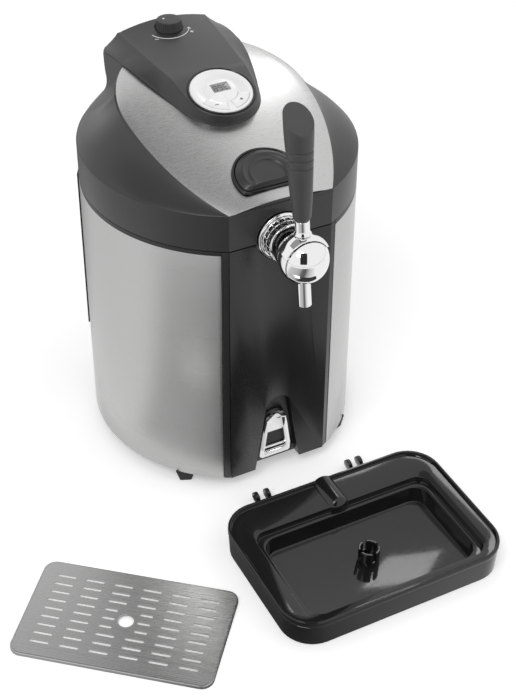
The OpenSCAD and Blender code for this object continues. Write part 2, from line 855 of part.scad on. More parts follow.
module tap_body() {
    neck_l = tap_reach + collar_in;
    chamber_r = 7.5;
    color("#dfe2e4") at_ball() difference() {
        union() {
            intersection() {
                sphere(ball_r);
                translate([-ball_r, -seam_y, -ball_r]) cube([2*ball_r, 3*ball_r, ball_r + cap_z]);
            }
            shaft(9.5, neck_l);
            translate([0, spout_off, 0]) rotate([spout_tilt, 0, 0]) translate([0, 0, -ball_r])
                cylinder(r = spout_r + 2, h = 8);
        }
        translate([-ball_r, -3*ball_r - seam_y, -2*ball_r]) cube([2*ball_r, 3*ball_r, 3*ball_r]);
        shaft(chamber_r, ball_r - 4);
        translate([0, -seam_y - 1, 0]) shaft(chamber_r, seam_y + 2);
        shaft(bore_r, tap_reach + 1);
        translate([-arm_w/2 - gap, -seam_y - 1, -1]) cube([arm_w + 2*gap, seam_y + 15, 20]);
        rod(pin_r + run_fit, 2*ball_r);
        translate([0, spout_off, 0]) rotate([spout_tilt, 0, 0]) translate([0, 0, -ball_r - 1])
            cylinder(r = bore_r + 1.5, h = ball_r);
    }
}

pin_r = 2;
arm_w = 9;
spout_off = 2;
spout_tilt = -8;

module tap_front() {
    color("#e4e7e9") at_ball() intersection() {
        difference() {
            sphere(ball_r);
            translate([0, -seam_y - 6, 0]) shaft(6, 7);
        }
        translate([-ball_r, -2*ball_r - seam_y - 0.2, -ball_r]) cube(2*ball_r);
    }
}

module tap_spout() {
    color("#dfe2e4") at_ball() translate([0, spout_off, 0]) rotate([spout_tilt, 0, 0])
        translate([0, 0, -ball_r - spout_l]) difference() {
            cylinder(r = spout_r, h = spout_l - 0.2);
            translate([0, 0, -slack]) cylinder(r = bore_r + 1.5, h = spout_l + 1);
        }
}

module tap_pin() {
    color("#9a9da0") at_ball() rod(pin_r, 2*ball_r - 8);
}

piston_l = 20;
piston_y = 7.2;

module tap_piston() {
    color("#c5a253") at_ball() translate([0, piston_y, 0]) {
        shaft(6.5, 5);
        translate([0, 4, 0]) shaft(1.6, piston_l);
    }
}

module tap_hood() {
    arm_t = 4;
    color("#e2e5e7") at_ball() difference() {
        union() {
            intersection() {
                difference() {
                    sphere(hood_ro);
                    sphere(hood_ri);
                    rotate([-handle_lean, 0, 0]) cylinder(r = spigot_r + run_fit, h = 2*ball_r);
                }
                translate([-40, -seam_y, cap_z]) cube([80, 80, 40]);
            }
            rotate([-arm_a, 0, 0]) translate([-arm_w/2, -arm_t/2, 0])
                cube([arm_w, arm_t, hood_ri + 0.6]);
            rod(hub_tap_r, arm_w);
        }
        rod(pin_r + run_fit, 20);
    }
}

hub_tap_r = 5.5;
arm_a = 30;                  // the lever's arm leans this far back under the hood
spigot_r = 4.9;
stem_foot = hood_ro + 0.1;
stem_top = 40;

module tap_stem() {
    stem_r = 6.9;
    color("#dcdfe1") at_ball() rotate([-handle_lean, 0, 0]) {
        translate([0, 0, hood_ri + 0.1]) cylinder(r = spigot_r, h = hood_t + 0.5);
        translate([0, 0, stem_foot]) cylinder(r1 = 8.6, r2 = stem_r, h = 3);
        translate([0, 0, stem_foot + 2.9]) cylinder(r = stem_r, h = stem_top - stem_foot - 2.9);
        translate([0, 0, stem_top - 0.1]) cylinder(r = 4, h = 14);
    }
}

// Half profile of the handle, from its foot up: radius against distance from the ball
function handle_profile(top) = [[6.9, stem_top], [8.4, stem_top + 3], [10.2, 61], [11.3, 81],
    [12.3, 100], [handle_r, 125], [handle_r + 0.4, top]];

module tap_handle() {
    groove_p = 8;
    top = handle_l + 14;
    color("#242528") at_ball() rotate([-handle_lean, 0, 0]) difference() {
        rotate_extrude() polygon(concat([[0, stem_top + fit], [6.9, stem_top + fit]],
            [for (i = [1:6]) handle_profile(top)[i]], [[0, top]]));
        translate([0, 0, stem_top - 1]) cylinder(r = 4 + run_fit, h = 16);
        translate([0, 0, handle_l]) rotate([handle_cut, 0, 0])
            translate([-40, -40, 0]) cube([80, 80, 60]);
        for (i = [0:handle_grooves - 1]) translate([0, 0, 94 + i*groove_p])
            rotate_extrude() translate([12.5 + i*0.4, 0]) circle(0.9, $fn = 24);
    }
}

// ---------- beer and gas ----------

coupler_r = 13;

module beer_line() {
    line_y = shank_front + shank_l + fit;
    color("#d8dadb") translate([0, line_y, tap_z]) difference() {
        shaft(3.4, keg_y - coupler_r - fit - line_y);
        translate([0, -slack, 0]) shaft(bore_r - 0.4, front_room + well_ri);
    }
}

coupler_z = top_z - 14;
turret_up = band_h - 4;
turret_z = lid_z + turret_up; // underside of the liner's turret

module keg_coupler() {
    nozzle_l = 8;
    color("#2a2b2e") translate([0, keg_y, coupler_z]) difference() {
        union() {
            cylinder(r = coupler_r, h = 28);
            translate([0, 0, 4]) cylinder(r = coupler_r + 5, h = 4);
            translate([0, 0, -nozzle_l]) cylinder(r = 4, h = nozzle_l + 1);
            cylinder(r = 8, h = turret_z - coupler_z - fit);
        }
        translate([0, 0, -nozzle_l - slack]) cylinder(r = bore_r - 0.4, h = nozzle_l + tap_up + 14);
        translate([0, -coupler_r - 1, tap_z - coupler_z]) shaft(bore_r - 0.4, coupler_r + 1);
    }
}

// ---------- lid ----------

// Depth of the lid's crown and of its band at station i
function crown_y(i, inset) = -half_d + 0.8 + inset + (lid_rear + half_d - 0.8 - 2*inset)*i/lid_stations;
function band_y(i, inset) = -half_d + inset + (body_d - 2*inset)*i/lid_stations;

// Share of the standing wall in the cheek at depth y
function walling(y) = let (t = min(1, max(0, y/cheek_bend_y))) t*t*(3 - 2*t);

// Curve of the cheek, from the crown at t = 0 to the band at t = 1: share out, share up
function cheek(t, k) = let (near = 3*(1 - t)*(1 - t)*t, far = 3*(1 - t)*t*t)
    [near*(0.25 - 0.21*k) + far*0.8 + t*t*t,
    (1 - t)*(1 - t)*(1 - t) + near*(0.57 - 0.54*k) + far*(0.3 - 0.06*k)];

// Points of the lid's outside at one level of the cheek
function lid_ring(t, inset) = mirrored([for (i = [0:lid_stations])
    let (yu = crown_y(i, inset), yl = band_y(i, inset), c = cheek(t, walling(yu)))
    let (xu = crown_x(yu) - inset - 0.4, xl = plan_x(yl, inset))
    let (zu = wedge_z(yu) - inset, zl = band_z - inset*0.5)
    [xu + (xl - xu)*c[0], yu + (yl - yu)*c[0], zl + (zu - zl)*c[1]]]);

// Points of the crowned top at a share of its half width
function crown_ring(share, inset) = mirrored([for (i = [0:lid_stations])
    let (y = crown_y(i, inset), x = share*(crown_x(y) - inset - 0.4))
    [x, y, top_z(share*crown_x(y), y) - inset]]);

function band_ring(z, inset) = mirrored([for (i = [0:lid_stations])
    let (y = band_y(i, inset)) [plan_x(y, inset), y, z]]);

module lid_solid(inset, z) {
    skin(concat([band_ring(z, inset)],
        [for (j = [0:cheek_steps]) lid_ring(1 - j/cheek_steps, inset)],
        [for (share = [0.8:-0.2:0.2]) crown_ring(share, inset)], [crown_ring(0.02, inset)]));
}

// The release button's parts are drawn on the top panel, about the button's centre
module at_button() {
    translate([0, button_y, button_z]) rotate([wedge_a, 0, 0]) children();
}

// Outline of the release button, widened by grow
module button_outline(grow = 0) {
    intersection() {
        circle(button_r + grow);
        translate([-2*button_r, -button_flat - grow]) square(4*button_r);
    }
}

module collar_notch() {
    translate([0, -half_d - 30, tap_z]) shaft(collar_r + 1, 30 + shell_t + 1);
    translate([-collar_r - 1, -half_d - 30, tap_z - 40])
        cube([2*collar_r + 2, 30 + shell_t + 1, 40]);
}

module lid_shell() {
    inner = shell_t + 0.5;
    color("#232426") difference() {
        lid_solid(0, lid_z);
        lid_solid(inner, lid_z - 1);
        crowned(0.15, panel_t + 0.2, 20);
        at_button() translate([0, 0, -20]) linear_extrude(30) button_outline(bezel_w - 1 + fit);
        translate([0, disc_y, disc_z - 40]) cylinder(r = 26, h = 60);
        translate([0, knob_back, band_z]) cylinder(r = 7, h = 80);
        collar_notch();
    }
}

module lid_top_panel() {
    color("#c2c4c6") difference() {
        crowned(-0.3, panel_t, 0);
        at_button() translate([0, 0, -20]) linear_extrude(40) button_outline(bezel_w + fit);
        translate([0, 0, lid_z]) linear_extrude(200) pod_plan(2.5);
    }
}

module lid_liner() {
    liner_t = 2.5;
    duct_l = keg_y + half_d - 21.2;
    turret_r = coupler_r + 9;
    color("#d6d7d5") difference() {
        union() {
            translate([0, 0, lid_z + 1]) linear_extrude(liner_t) plan(shell_t + 1.3);
            translate([0, keg_y, lid_z + 1]) cylinder(r = turret_r + 2, h = turret_up + 1);
            translate([-18, keg_y - duct_l, lid_z + 1]) cube([36, duct_l, 16]);
        }
        translate([0, keg_y, lid_z - 1]) cylinder(r = turret_r, h = turret_z - lid_z + 1);
        translate([-16, keg_y - duct_l - 2, lid_z - 1]) cube([32, duct_l + 2, 16]);
        translate([-30, -half_d, lid_z - 1]) cube([60, front_room - 2, 10]);
        translate([0, keg_y, lid_z]) cylinder(r = 4 + fit, h = 60);
        for (x = [-1, 1]) translate([x*latch_x - 6, -half_d + 5, lid_z - 1]) cube([12, 16, 10]);
    }
}

module lid_seal() {
    color("#3a3b3d") translate([0, keg_y, lid_z - 0.4]) difference() {
        ring(well_ro + well_flange - 1, well_ri + 1.5, 1.3);
        translate([-8, -2*well_ro, -1]) cube([16, 2*well_ro, 4]);
    }
}

module lid_hinges() {
    leaf_w = 12;
    color("#2b2c2e") for (x = [-1, 1]) translate([x*hinge_gap/2, 0, 0]) difference() {
        union() {
            translate([0, hinge_y, hinge_z]) rod(knuckle_r, leaf_w);
            translate([-leaf_w/2, lid_rear_face, hinge_z]) cube([leaf_w, hinge_y - lid_rear_face, 16]);
        }
        translate([0, hinge_y, hinge_z]) rod(hinge_pin_r + run_fit, leaf_w + 1);
    }
}

lid_rear_face = half_d + 0.05;

module hinge_pins() {
    color("#a5a8ab") for (x = [-1, 1])
        translate([x*hinge_gap/2, hinge_y, hinge_z]) rod(hinge_pin_r, 26);
}

module button_bezel() {
    color("#1d1e20") at_button() difference() {
        union() {
            translate([0, 0, -panel_t]) linear_extrude(2.5 + panel_t) button_outline(bezel_w);
            translate([0, 0, -3*panel_t]) linear_extrude(3*panel_t) button_outline(bezel_w - 1);
        }
        translate([0, 0, -10]) linear_extrude(20) button_outline(gap);
    }
}

module lid_button() {
    color("#26272a") at_button() difference() {
        union() {
            translate([0, 0, -6]) linear_extrude(9) button_outline();
            translate([0, 0, 2.9]) linear_extrude(button_h - 2.9) button_outline(-4);
            translate([0, 8, -12]) cylinder(r = 4, h = 8);
        }
        translate([0, 0, button_h - 1.6]) linear_extrude(5) button_outline(-8);
    }
}

module button_spring() {
    color("#a9acaf") at_button() translate([0, 8, -22]) ring(6.5, 5, 15.9 - button_travel);
}

module lid_latch() {
    shelf_z0 = lid_z + 20;
    color("#3c3e41") {
        translate([-latch_x - 4, -half_d + 9, shelf_z0]) cube([2*latch_x + 8, 9, 3]);
        for (x = [-1, 1]) {
            translate([x*latch_x - 4, -half_d + 10, top_z - rim_t - 5])
                cube([8, 4, shelf_z0 - top_z + rim_t + 6]);
            translate([x*latch_x - 4, -half_d + 6.4, top_z - rim_t - 5]) cube([8, 4, 3.6]);
        }
    }
}

// ---------- pod ----------

// Outline of the pod, drawn in by inset
module pod_plan(inset = 0) {
    side = pod_points(inset);
    polygon(concat(side, [for (i = [len(side) - 1:-1:0]) [-side[i][0], side[i][1]]]));
}

function pod_front(r, y, turn) = [for (a = [-84:12:-24]) [r*cos(a), y + r*turn*sin(a)]];
pod_side_y = [for (y = [pod_turn_y:9:pod_rear - 4]) y];

function pod_points(inset) = concat(pod_front(pod_r - inset, pod_round_y, 1),
    [for (y = pod_side_y) [pod_x(y) - inset, y]], [[pod_w/2 - inset, pod_rear - inset]]);

function pod_top_points(inset) = concat(pod_front(disc_r + ring_w + 2 - inset, disc_y, cos(disc_a)),
    [for (y = pod_side_y) [pod_top_x(y) - inset, y]], [[pod_top_w/2 - inset, pod_rear - inset]]);

// Upright foot of the pod at depth y, and how far the wall above it leans in at the rear
function foot_h_at(y) = 1 + (pod_wall - 1)*min(1, max(0, y/50));
function foot_lean_at(y) = 2.5*max(0, y - tail_y)/tail_l;

// Rings of the pod's skin: its foot, its crease, and its top at a share of the half width
function pod_foot_ring(inset, up) = mirrored([for (p = pod_points(inset))
    [p[0], p[1], top_z(p[0], p[1]) + up]]);
function pod_crease_ring(inset) = mirrored([for (p = pod_points(inset))
    [p[0] - foot_lean_at(p[1]), p[1], top_z(p[0], p[1]) + foot_h_at(p[1]) - inset*0.3]]);
function pod_top_ring(inset, share) = mirrored([for (p = pod_top_points(inset))
    [p[0]*share, p[1], pod_z(p[1]) + pod_lift(p[1])*(1 - share*share) - inset]]);

module pod_solid(inset, up) {
    skin([pod_foot_ring(inset, up), pod_crease_ring(inset), pod_top_ring(inset, 1),
        pod_top_ring(inset, 0.75), pod_top_ring(inset, 0.5), pod_top_ring(inset, 0.02)]);
}

module at_disc() {
    translate([0, disc_y, disc_z]) rotate([disc_a, 0, 0]) children();
}

module pod_shell() {
    color("#26272a") difference() {
        pod_solid(0, 2*fit);
        difference() {
            pod_solid(2.6, -6);
            at_disc() translate([0, 0, -9]) cylinder(r = disc_r + ring_w + 2, h = 20);
            translate([0, knob_back, knob_z - 2.6]) cylinder(r = knob_r + 3.2, h = 20);
        }
        translate([0, knob_back, knob_z]) cylinder(r = knob_r + 2*fit, h = 20);
        at_disc() translate([0, 0, -6]) cylinder(r = disc_r + ring_w, h = 20);
        at_disc() translate([0, 0, -40]) cylinder(r = disc_r - 4, h = 50);
        translate([0, knob_back, knob_z - 20]) cylinder(r = 4, h = 40);
    }
}

module display_ring() {
    color("#131415") at_disc() translate([0, 0, -6]) {
        difference() {
            cylinder(r = disc_r + ring_w - fit, h = 7.4);
            translate([0, 0, 2]) cylinder(r = disc_r + 0.2, h = 10);
            translate([0, 0, -slack]) cylinder(r = disc_r - 4, h = 10);
        }
    }
}

key_in = 16.5;
key_out = 27.5;

// Keypad segment on the lower half of the disc, side -1 left or 1 right
module key_outline(side, grow) {
    a0 = side < 0 ? 205 : 278;
    a1 = a0 + 57;
    mid = (a0 + a1)/2;
    turn = grow/key_out*57;
    intersection() {
        difference() {
            circle(key_out + grow);
            circle(key_in - grow);
        }
        polygon([[0, 0], [60*cos(a0 - turn), 60*sin(a0 - turn)], [60*cos(mid), 60*sin(mid)],
            [60*cos(a1 + turn), 60*sin(a1 + turn)]]);
    }
}

module display_disc() {
    color("#c9cbcd") at_disc() translate([0, 0, -3.9]) linear_extrude(5) difference() {
        circle(disc_r);
        translate([1 - window_w/2, 4.4 - window_h/2]) square([window_w, window_h]);
        for (side = [-1, 1]) key_outline(side, gap);
    }
}

module display_window() {
    color("#9aa596") at_disc() translate([1 - window_w/2 + 0.2, 4.4 - window_h/2 + 0.2, -1.6])
        cube([window_w - 0.4, window_h - 0.4, 2.2]);
}

module keypad_key(side) {
    color("#c9cbcd") at_disc() translate([0, 0, -3.1]) linear_extrude(4.7) key_outline(side, 0);
}

module minus_button() {
    keypad_key(-1);
}

module plus_button() {
    keypad_key(1);
}

module control_board() {
    color("#2c5f38") at_disc() translate([-18, -18, -8.5]) cube([36, 36, 1.6]);
    color("#202224") at_disc() translate([-8, -2, -7]) cube([16, 12, 2.4]);
}

module pressure_knob() {
    ribs = 30;
    draft = 8;
    color("#1a1b1c") translate([0, knob_back, knob_z + gap]) difference() {
        cylinder(r1 = knob_r, r2 = knob_r - knob_h*tan(draft), h = knob_h);
        for (i = [0:ribs - 1]) rotate([0, 0, (i + 0.5)*360/ribs])
            translate([knob_r + 0.2, 0, 1.4]) rotate([0, -draft, 0])
                cylinder(r = 0.7, h = knob_h + 1, $fn = 16);
        translate([0, 0, -slack]) cylinder(r = 3 + run_fit, h = knob_h - 3);
    }
}

reg_z = lid_z + 32;
sleeve_l = 50;

module regulator() {
    color("#b58f45") {
        translate([-14, knob_back - 16, reg_z]) cube([28, 28, 24]);
        translate([0, knob_back, reg_z + 23.9]) cylinder(r = 6, h = wedge_z(knob_back) - 6 - reg_z - 23.9);
        translate([0, knob_back, reg_z + 24]) cylinder(r = 3, h = knob_z + knob_h - 4.5 - reg_z - 24);
    }
}

module cartridge_sleeve() {
    color("#6d7175") translate([-14.1 - sleeve_l/2, knob_back - 8, reg_z + 12]) difference() {
        rod(12, sleeve_l);
        translate([4, 0, 0]) rod(10.5, sleeve_l);
    }
}

module gas_line() {
    nozzle_z = turret_z + 0.1;
    start_y = keg_y + 1;
    color("#3b3d40") {
        translate([0, start_y, reg_z + 12]) shaft(3, knob_back - 16.2 - start_y);
        translate([0, keg_y, nozzle_z]) cylinder(r = 4, h = reg_z + 12 - nozzle_z + 4);
    }
}

// ---------- tray catch ----------

catch_y = -half_d + niche_d - 3.4;
catch_foot = base_z + 8;

// Outline of the catch in the XZ plane, drawn in by inset
module catch_outline(inset = 0) {
    foot = catch_w/2 - inset;
    brow = 13 - inset;
    brow_z = catch_foot + catch_h - 13;
    translate([0, brow_z]) circle(brow);
    polygon([[-foot + 3, catch_foot + inset], [foot - 3, catch_foot + inset],
        [foot, catch_foot + 3 + inset], [foot - 0.6, catch_foot + 10],
        [brow, brow_z], [-brow, brow_z], [-foot + 0.6, catch_foot + 10],
        [-foot, catch_foot + 3 + inset]]);
}

module upright(depth) {
    rotate([90, 0, 0]) linear_extrude(depth) children();
}

module tray_catch() {
    face_y = -half_d + niche_d - catch_t - 0.6;
    color("#dcdfe1") difference() {
        union() {
            translate([0, face_y + catch_t, 0]) upright(catch_t) difference() {
                catch_outline();
                catch_outline(5.5);
            }
            translate([0, face_y + catch_t, 0]) upright(1.6) intersection() {
                catch_outline(5);
                translate([-20, catch_foot + 30]) square([40, 30]);
            }
            for (i = [0, 1]) translate([-catch_w/2 + 5, face_y + 1 + 2.2*i, catch_foot + 4 + 4.5*i])
                cube([catch_w - 10, catch_t - 1 - 2.2*i, 3]);
        }
        translate([0, catch_y, catch_pin_z]) rod(catch_pin_r + run_fit, 60);
        translate([0, face_y + catch_t, catch_foot]) rotate([45, 0, 0])
            cube([catch_w + 2, 4, 4], center = true);
    }
}

module catch_pin() {
    color("#9a9da0") translate([0, catch_y, catch_pin_z]) rod(catch_pin_r, catch_w + 6);
}

// ---------- drip tray and grate ----------

module tongue() {
    tip_h = 12.2;
    translate([-tongue_t/2, -2, 2]) cube([tongue_t, tongue_l + 2 - tip_h/2, 6]);
    translate([-tongue_t/2, tongue_l - tip_h, 2]) cube([tongue_t, tip_h - 3.2, tip_h - 2]);
    translate([0, tongue_l - 6, tip_h - 6.2]) rod(6.2, tongue_t);
    translate([-tongue_t/2, tongue_l - 7, 2]) cube([tongue_t, 7, 5]);
}

module drip_tray() {
    boss_r = 11;
    color("#1d1e20") translate([tray_x, tray_mid_y, 0]) {
        difference() {
            union() {
                linear_extrude(tray_h) rounded([tray_w, tray_d], tray_r);
                translate([0, tray_d/2 - 40, shelf_z - 6]) shaft(ridge_w/2, 40);
            }
            translate([0, basin_mid, tray_t]) linear_extrude(tray_h + 20)
                rounded([grate_w - 10, grate_d - 10], 16);
            translate([0, basin_mid, ledge_z]) linear_extrude(tray_h)
                rounded([grate_w + 1.6, grate_d + 1.6], 13);
            difference() {
                translate([0, 0, shelf_z]) linear_extrude(tray_h)
                    rounded([tray_w - 7, tray_d - 7], tray_r - 3.5);
                translate([0, tray_d/2 - 40, shelf_z - 6]) shaft(ridge_w/2, 42);
            }
            translate([0, 0, -slack]) linear_extrude(1.5) rounded([tray_w - 30, tray_d - 30], 20);
        }
        difference() {
            translate([0, basin_mid, tray_t - 0.1]) ring(boss_r, boss_r - 2.5, ledge_z - tray_t);
            for (a = [0, 90]) translate([0, basin_mid, tray_t + 6]) rotate([0, 0, a])
                translate([-20, -2, 0]) cube([40, 4, 30]);
        }
        for (side = [-1, 1], twin = [-1, 1])
            translate([side*tongue_gap/2 + twin*6.3, tray_d/2, 0]) tongue();
    }
}

module drip_grate() {
    lip = grate_t;
    mid_row = (slot_rows - 1)/2;
    mid_col = (slot_cols - 1)/2;
    color("#b4b6b8") translate([grate_mid[0], grate_mid[1], 0]) rotate([0, 0, grate_turn])
        difference() {
            linear_extrude(grate_h) rounded([grate_w, grate_d], 12);
            translate([0, 0, -slack]) linear_extrude(grate_h - grate_t + slack)
                rounded([grate_w - 2*lip, grate_d - 2*lip], 11);
            translate([0, 0, -slack]) cylinder(r = 7.5, h = grate_h + 1);
            for (col = [0:slot_cols - 1], row = [0:slot_rows - 1]) {
                cx = (col - mid_col)*slot_px;
                cy = (row - mid_row)*slot_py;
                near = abs(cx) < slot_px && abs(row - mid_row) < 1.1;
                cut = near ? 6 : 0;
                shift = near ? sign(cx)*cut/2 : 0;
                translate([cx + shift, cy, -slack]) slot(slot_l - cut, grate_h + 1);
            }
        }
}

module slot(l, h) {
    for (x = [-1, 1]) translate([x*(l - slot_w)/2, 0, 0]) cylinder(r = slot_w/2, h = h, $fn = 24);
    translate([-(l - slot_w)/2, -slot_w/2, 0]) cube([l - slot_w, slot_w, h]);
}

base_plate();
feet();
left_panel();
right_panel();
left_post();
right_post();
front_panel();
rear_cover();
rear_grille();
rear_screws();
body_rim();
keg_well();
front_foam();
rear_foam();
cold_block();
peltier_module();
heat_sink();
fan_frame();
fan_rotor();
power_board();
power_inlet();
tap_bracket();
tap_shank();
shank_nut();
tap_collar();
tap_body();
tap_front();
tap_spout();
tap_pin();
tap_piston();
tap_hood();
tap_stem();
tap_handle();
beer_line();
keg_coupler();
hinge_pins();
lid_hinges();
lid_shell();
lid_top_panel();
lid_liner();
lid_seal();
button_bezel();
lid_button();
button_spring();
lid_latch();
pod_shell();
display_ring();
display_disc();
display_window();
minus_button();
plus_button();
control_board();
pressure_knob();
regulator();
cartridge_sleeve();
gas_line();
catch_pin();
tray_catch();
drip_tray();
drip_grate();
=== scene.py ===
"""Looks of the mini keg beer dispenser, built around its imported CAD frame.

The frame gives the bodies and the nodes. Each piece below stands for one node, or adds the
small printed and moulded detail that a node leaves out. All sizes are in millimetres until
a mesh is made. +X is right, +Y is the rear and +Z is up.
"""

import json
import math

import bmesh
import bpy
from mathutils import Matrix, Vector

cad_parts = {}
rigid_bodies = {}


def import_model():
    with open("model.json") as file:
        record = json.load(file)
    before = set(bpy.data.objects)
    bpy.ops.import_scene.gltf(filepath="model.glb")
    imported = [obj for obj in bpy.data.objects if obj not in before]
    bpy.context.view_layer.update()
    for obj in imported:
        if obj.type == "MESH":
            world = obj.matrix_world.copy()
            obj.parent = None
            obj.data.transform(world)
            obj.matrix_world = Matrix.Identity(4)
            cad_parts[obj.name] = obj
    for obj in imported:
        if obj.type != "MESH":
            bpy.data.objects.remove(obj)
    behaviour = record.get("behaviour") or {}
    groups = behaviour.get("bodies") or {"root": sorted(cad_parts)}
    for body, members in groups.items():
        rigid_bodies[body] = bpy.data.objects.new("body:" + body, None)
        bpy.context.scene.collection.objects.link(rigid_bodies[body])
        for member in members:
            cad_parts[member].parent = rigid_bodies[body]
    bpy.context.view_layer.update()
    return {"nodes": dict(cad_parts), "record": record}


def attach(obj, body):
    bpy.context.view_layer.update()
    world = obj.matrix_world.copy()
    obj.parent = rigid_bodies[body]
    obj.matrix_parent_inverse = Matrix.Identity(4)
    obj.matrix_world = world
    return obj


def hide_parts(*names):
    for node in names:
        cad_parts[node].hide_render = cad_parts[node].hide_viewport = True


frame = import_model()

MM = 0.001

# ---------------------------------------------------------------- sizes of the object

HALF_W = 138.5          # body, widest half width
HALF_F = 54.5           # half width of the flat front
HALF_D = 139.0          # half depth of the body
SIDE_R = ((HALF_W - HALF_F) ** 2 + HALF_D ** 2) / (2 * (HALF_W - HALF_F))
SIDE_C = HALF_W - SIDE_R
BASE_Z = 14.0
TOP_Z = 300.0
RIM_SHOW = 4.0          # dark rim above the steel sides
LID_Z = 301.0
BAND_Z = 340.0
LID_REAR = 130.0

WEDGE_A = math.radians(17.6)
BEND_Y = -70.0
WEDGE_R = 731.0
BEND_Z = BAND_Z + 69.0 * math.tan(WEDGE_A)
ARC_Y = BEND_Y + WEDGE_R * math.sin(WEDGE_A)
ARC_Z = BEND_Z - WEDGE_R * math.cos(WEDGE_A)
TAIL_L = 55.0           # the surface dips over this length, under the pod
TAIL_Y = LID_REAR - TAIL_L
TAIL_Z = ARC_Z + math.sqrt(WEDGE_R ** 2 - (TAIL_Y - ARC_Y) ** 2)
TAIL_SLOPE = (ARC_Y - TAIL_Y) / (TAIL_Z - ARC_Z)
CROWN_H = 5.5
WEDGE_HALF = 96.5
WEDGE_BACK = 122.0
EDGE_R = ((WEDGE_HALF - HALF_F) ** 2 + HALF_D ** 2) / (2 * (WEDGE_HALF - HALF_F))

BUTTON_Y = -112.0
BUTTON_R = 32.0
BUTTON_FLAT = 13.0

DISC_Y = -11.6
DISC_A = math.radians(14.5)
DISC_R = 31.2
RING_W = 2.6
POD_R = 43.2
POD_HALF = 66.5
POD_TOP_HALF = 49.0
POD_TURN = math.radians(19.5)
POD_SIDE_R = 2 * (POD_HALF - POD_R * math.cos(POD_TURN)) / math.tan(POD_TURN) ** 2
POD_TURN_Y = LID_REAR - POD_SIDE_R * math.tan(POD_TURN)
POD_ROUND_Y = POD_TURN_Y + POD_R * math.sin(POD_TURN)
POD_REAR_Z = TAIL_Z + 14.0
POD_CROWN = 7.0

KNOB_Y = 111.0
KNOB_R = 14.4
KNOB_H = 10.0
SCALE_X = -1.5           # middle of the printed arc round the knob
SCALE_R = 21.6
SCALE_LINE = 0.42
POD_TAPER = 0.0824       # how fast the pod's top edge draws in towards the front

TAP = Vector((0.0, -183.0, 304.0))
BALL_R = 24.0
CAP_Z = 11.5
HOOD_R = 25.85
LEAN = math.radians(6.6)

TRAY = Vector((21.0, -281.0, 0.0))
BASIN_Y = -13.0
GRATE = Vector((-224.8, -259.5, 0.0))
GRATE_TURN = math.radians(-39.5)


def plan_x(y, inset=0.0):
    """Half width of the body at depth y."""
    return SIDE_C + math.sqrt((SIDE_R - inset) ** 2 - y * y)


def wedge_z(y):
    """Height of the lid's surface at its edge at depth y."""
    if y < BEND_Y:
        return BAND_Z + (y + HALF_D) * math.tan(WEDGE_A)
    if y < TAIL_Y:
        return ARC_Z + math.sqrt(WEDGE_R ** 2 - (y - ARC_Y) ** 2)
    t = (y - TAIL_Y) / TAIL_L
    return TAIL_Z + TAIL_SLOPE * (y - TAIL_Y) * (1 - t) - 4.0 * t * t


def wedge_x(y):
    """Half width of the steel top panel at depth y."""
    if y < 0:
        return WEDGE_HALF - EDGE_R + math.sqrt(EDGE_R ** 2 - y * y)
    return WEDGE_HALF * max(0.0, 1 - (y / WEDGE_BACK) ** 2) ** 0.65


DISC_Z = wedge_z(DISC_Y) + 17.3
POD_BEND_Y = DISC_Y + DISC_R * math.cos(DISC_A)
POD_BEND_Z = DISC_Z + DISC_R * math.sin(DISC_A)


def pod_x(y):
    """Half width of the pod's foot at depth y, behind its round front."""
    return POD_HALF - (LID_REAR - y) ** 2 / (2 * POD_SIDE_R)


def pod_z(y):
    """Height of the pod's top edge at depth y."""
    if y < POD_BEND_Y:
        return DISC_Z + (y - DISC_Y) * math.tan(DISC_A)
    share = (y - POD_BEND_Y) / (LID_REAR - POD_BEND_Y)
    return POD_BEND_Z + (POD_REAR_Z - POD_BEND_Z) * share


def pod_lift(y):
    """Height of the pod's crown over its top edges at depth y."""
    return POD_CROWN * (max(0.0, y - POD_BEND_Y) / (LID_REAR - POD_BEND_Y)) ** 2


KNOB_Z = pod_z(KNOB_Y - KNOB_R) + pod_lift(KNOB_Y - KNOB_R) + 0.35


def crown_x(y):
    """Half width of the lid's crown at depth y."""
    return max(wedge_x(y), pod_x(y) if y > POD_TURN_Y else 0.0)


def top_z(x, y):
    """Height of the lid's crowned surface."""
    fade = 1.0 if y < TAIL_Y else max(0.0, 1 - ((y - TAIL_Y) / TAIL_L) ** 2)
    return wedge_z(y) + (1 - (x / crown_x(y)) ** 2) * CROWN_H * fade


# ---------------------------------------------------------------- materials

class Num:
    """A number that varies over a surface: one socket of a material's tree."""

    def __init__(self, finish, socket):
        self.finish, self.socket = finish, socket

    def _math(self, kind, first, second=None, third=None):
        values = [v for v in (first, second, third) if v is not None]
        return self.finish.num("ShaderNodeMath", {"operation": kind}, dict(enumerate(values)))

    def __add__(self, other): return self._math("ADD", self, other)
    def __radd__(self, other): return self._math("ADD", other, self)
    def __sub__(self, other): return self._math("SUBTRACT", self, other)
    def __rsub__(self, other): return self._math("SUBTRACT", other, self)
    def __mul__(self, other): return self._math("MULTIPLY", self, other)
    def __rmul__(self, other): return self._math("MULTIPLY", other, self)
    def __truediv__(self, other): return self._math("DIVIDE", self, other)
    def __pow__(self, other): return self._math("POWER", self, other)


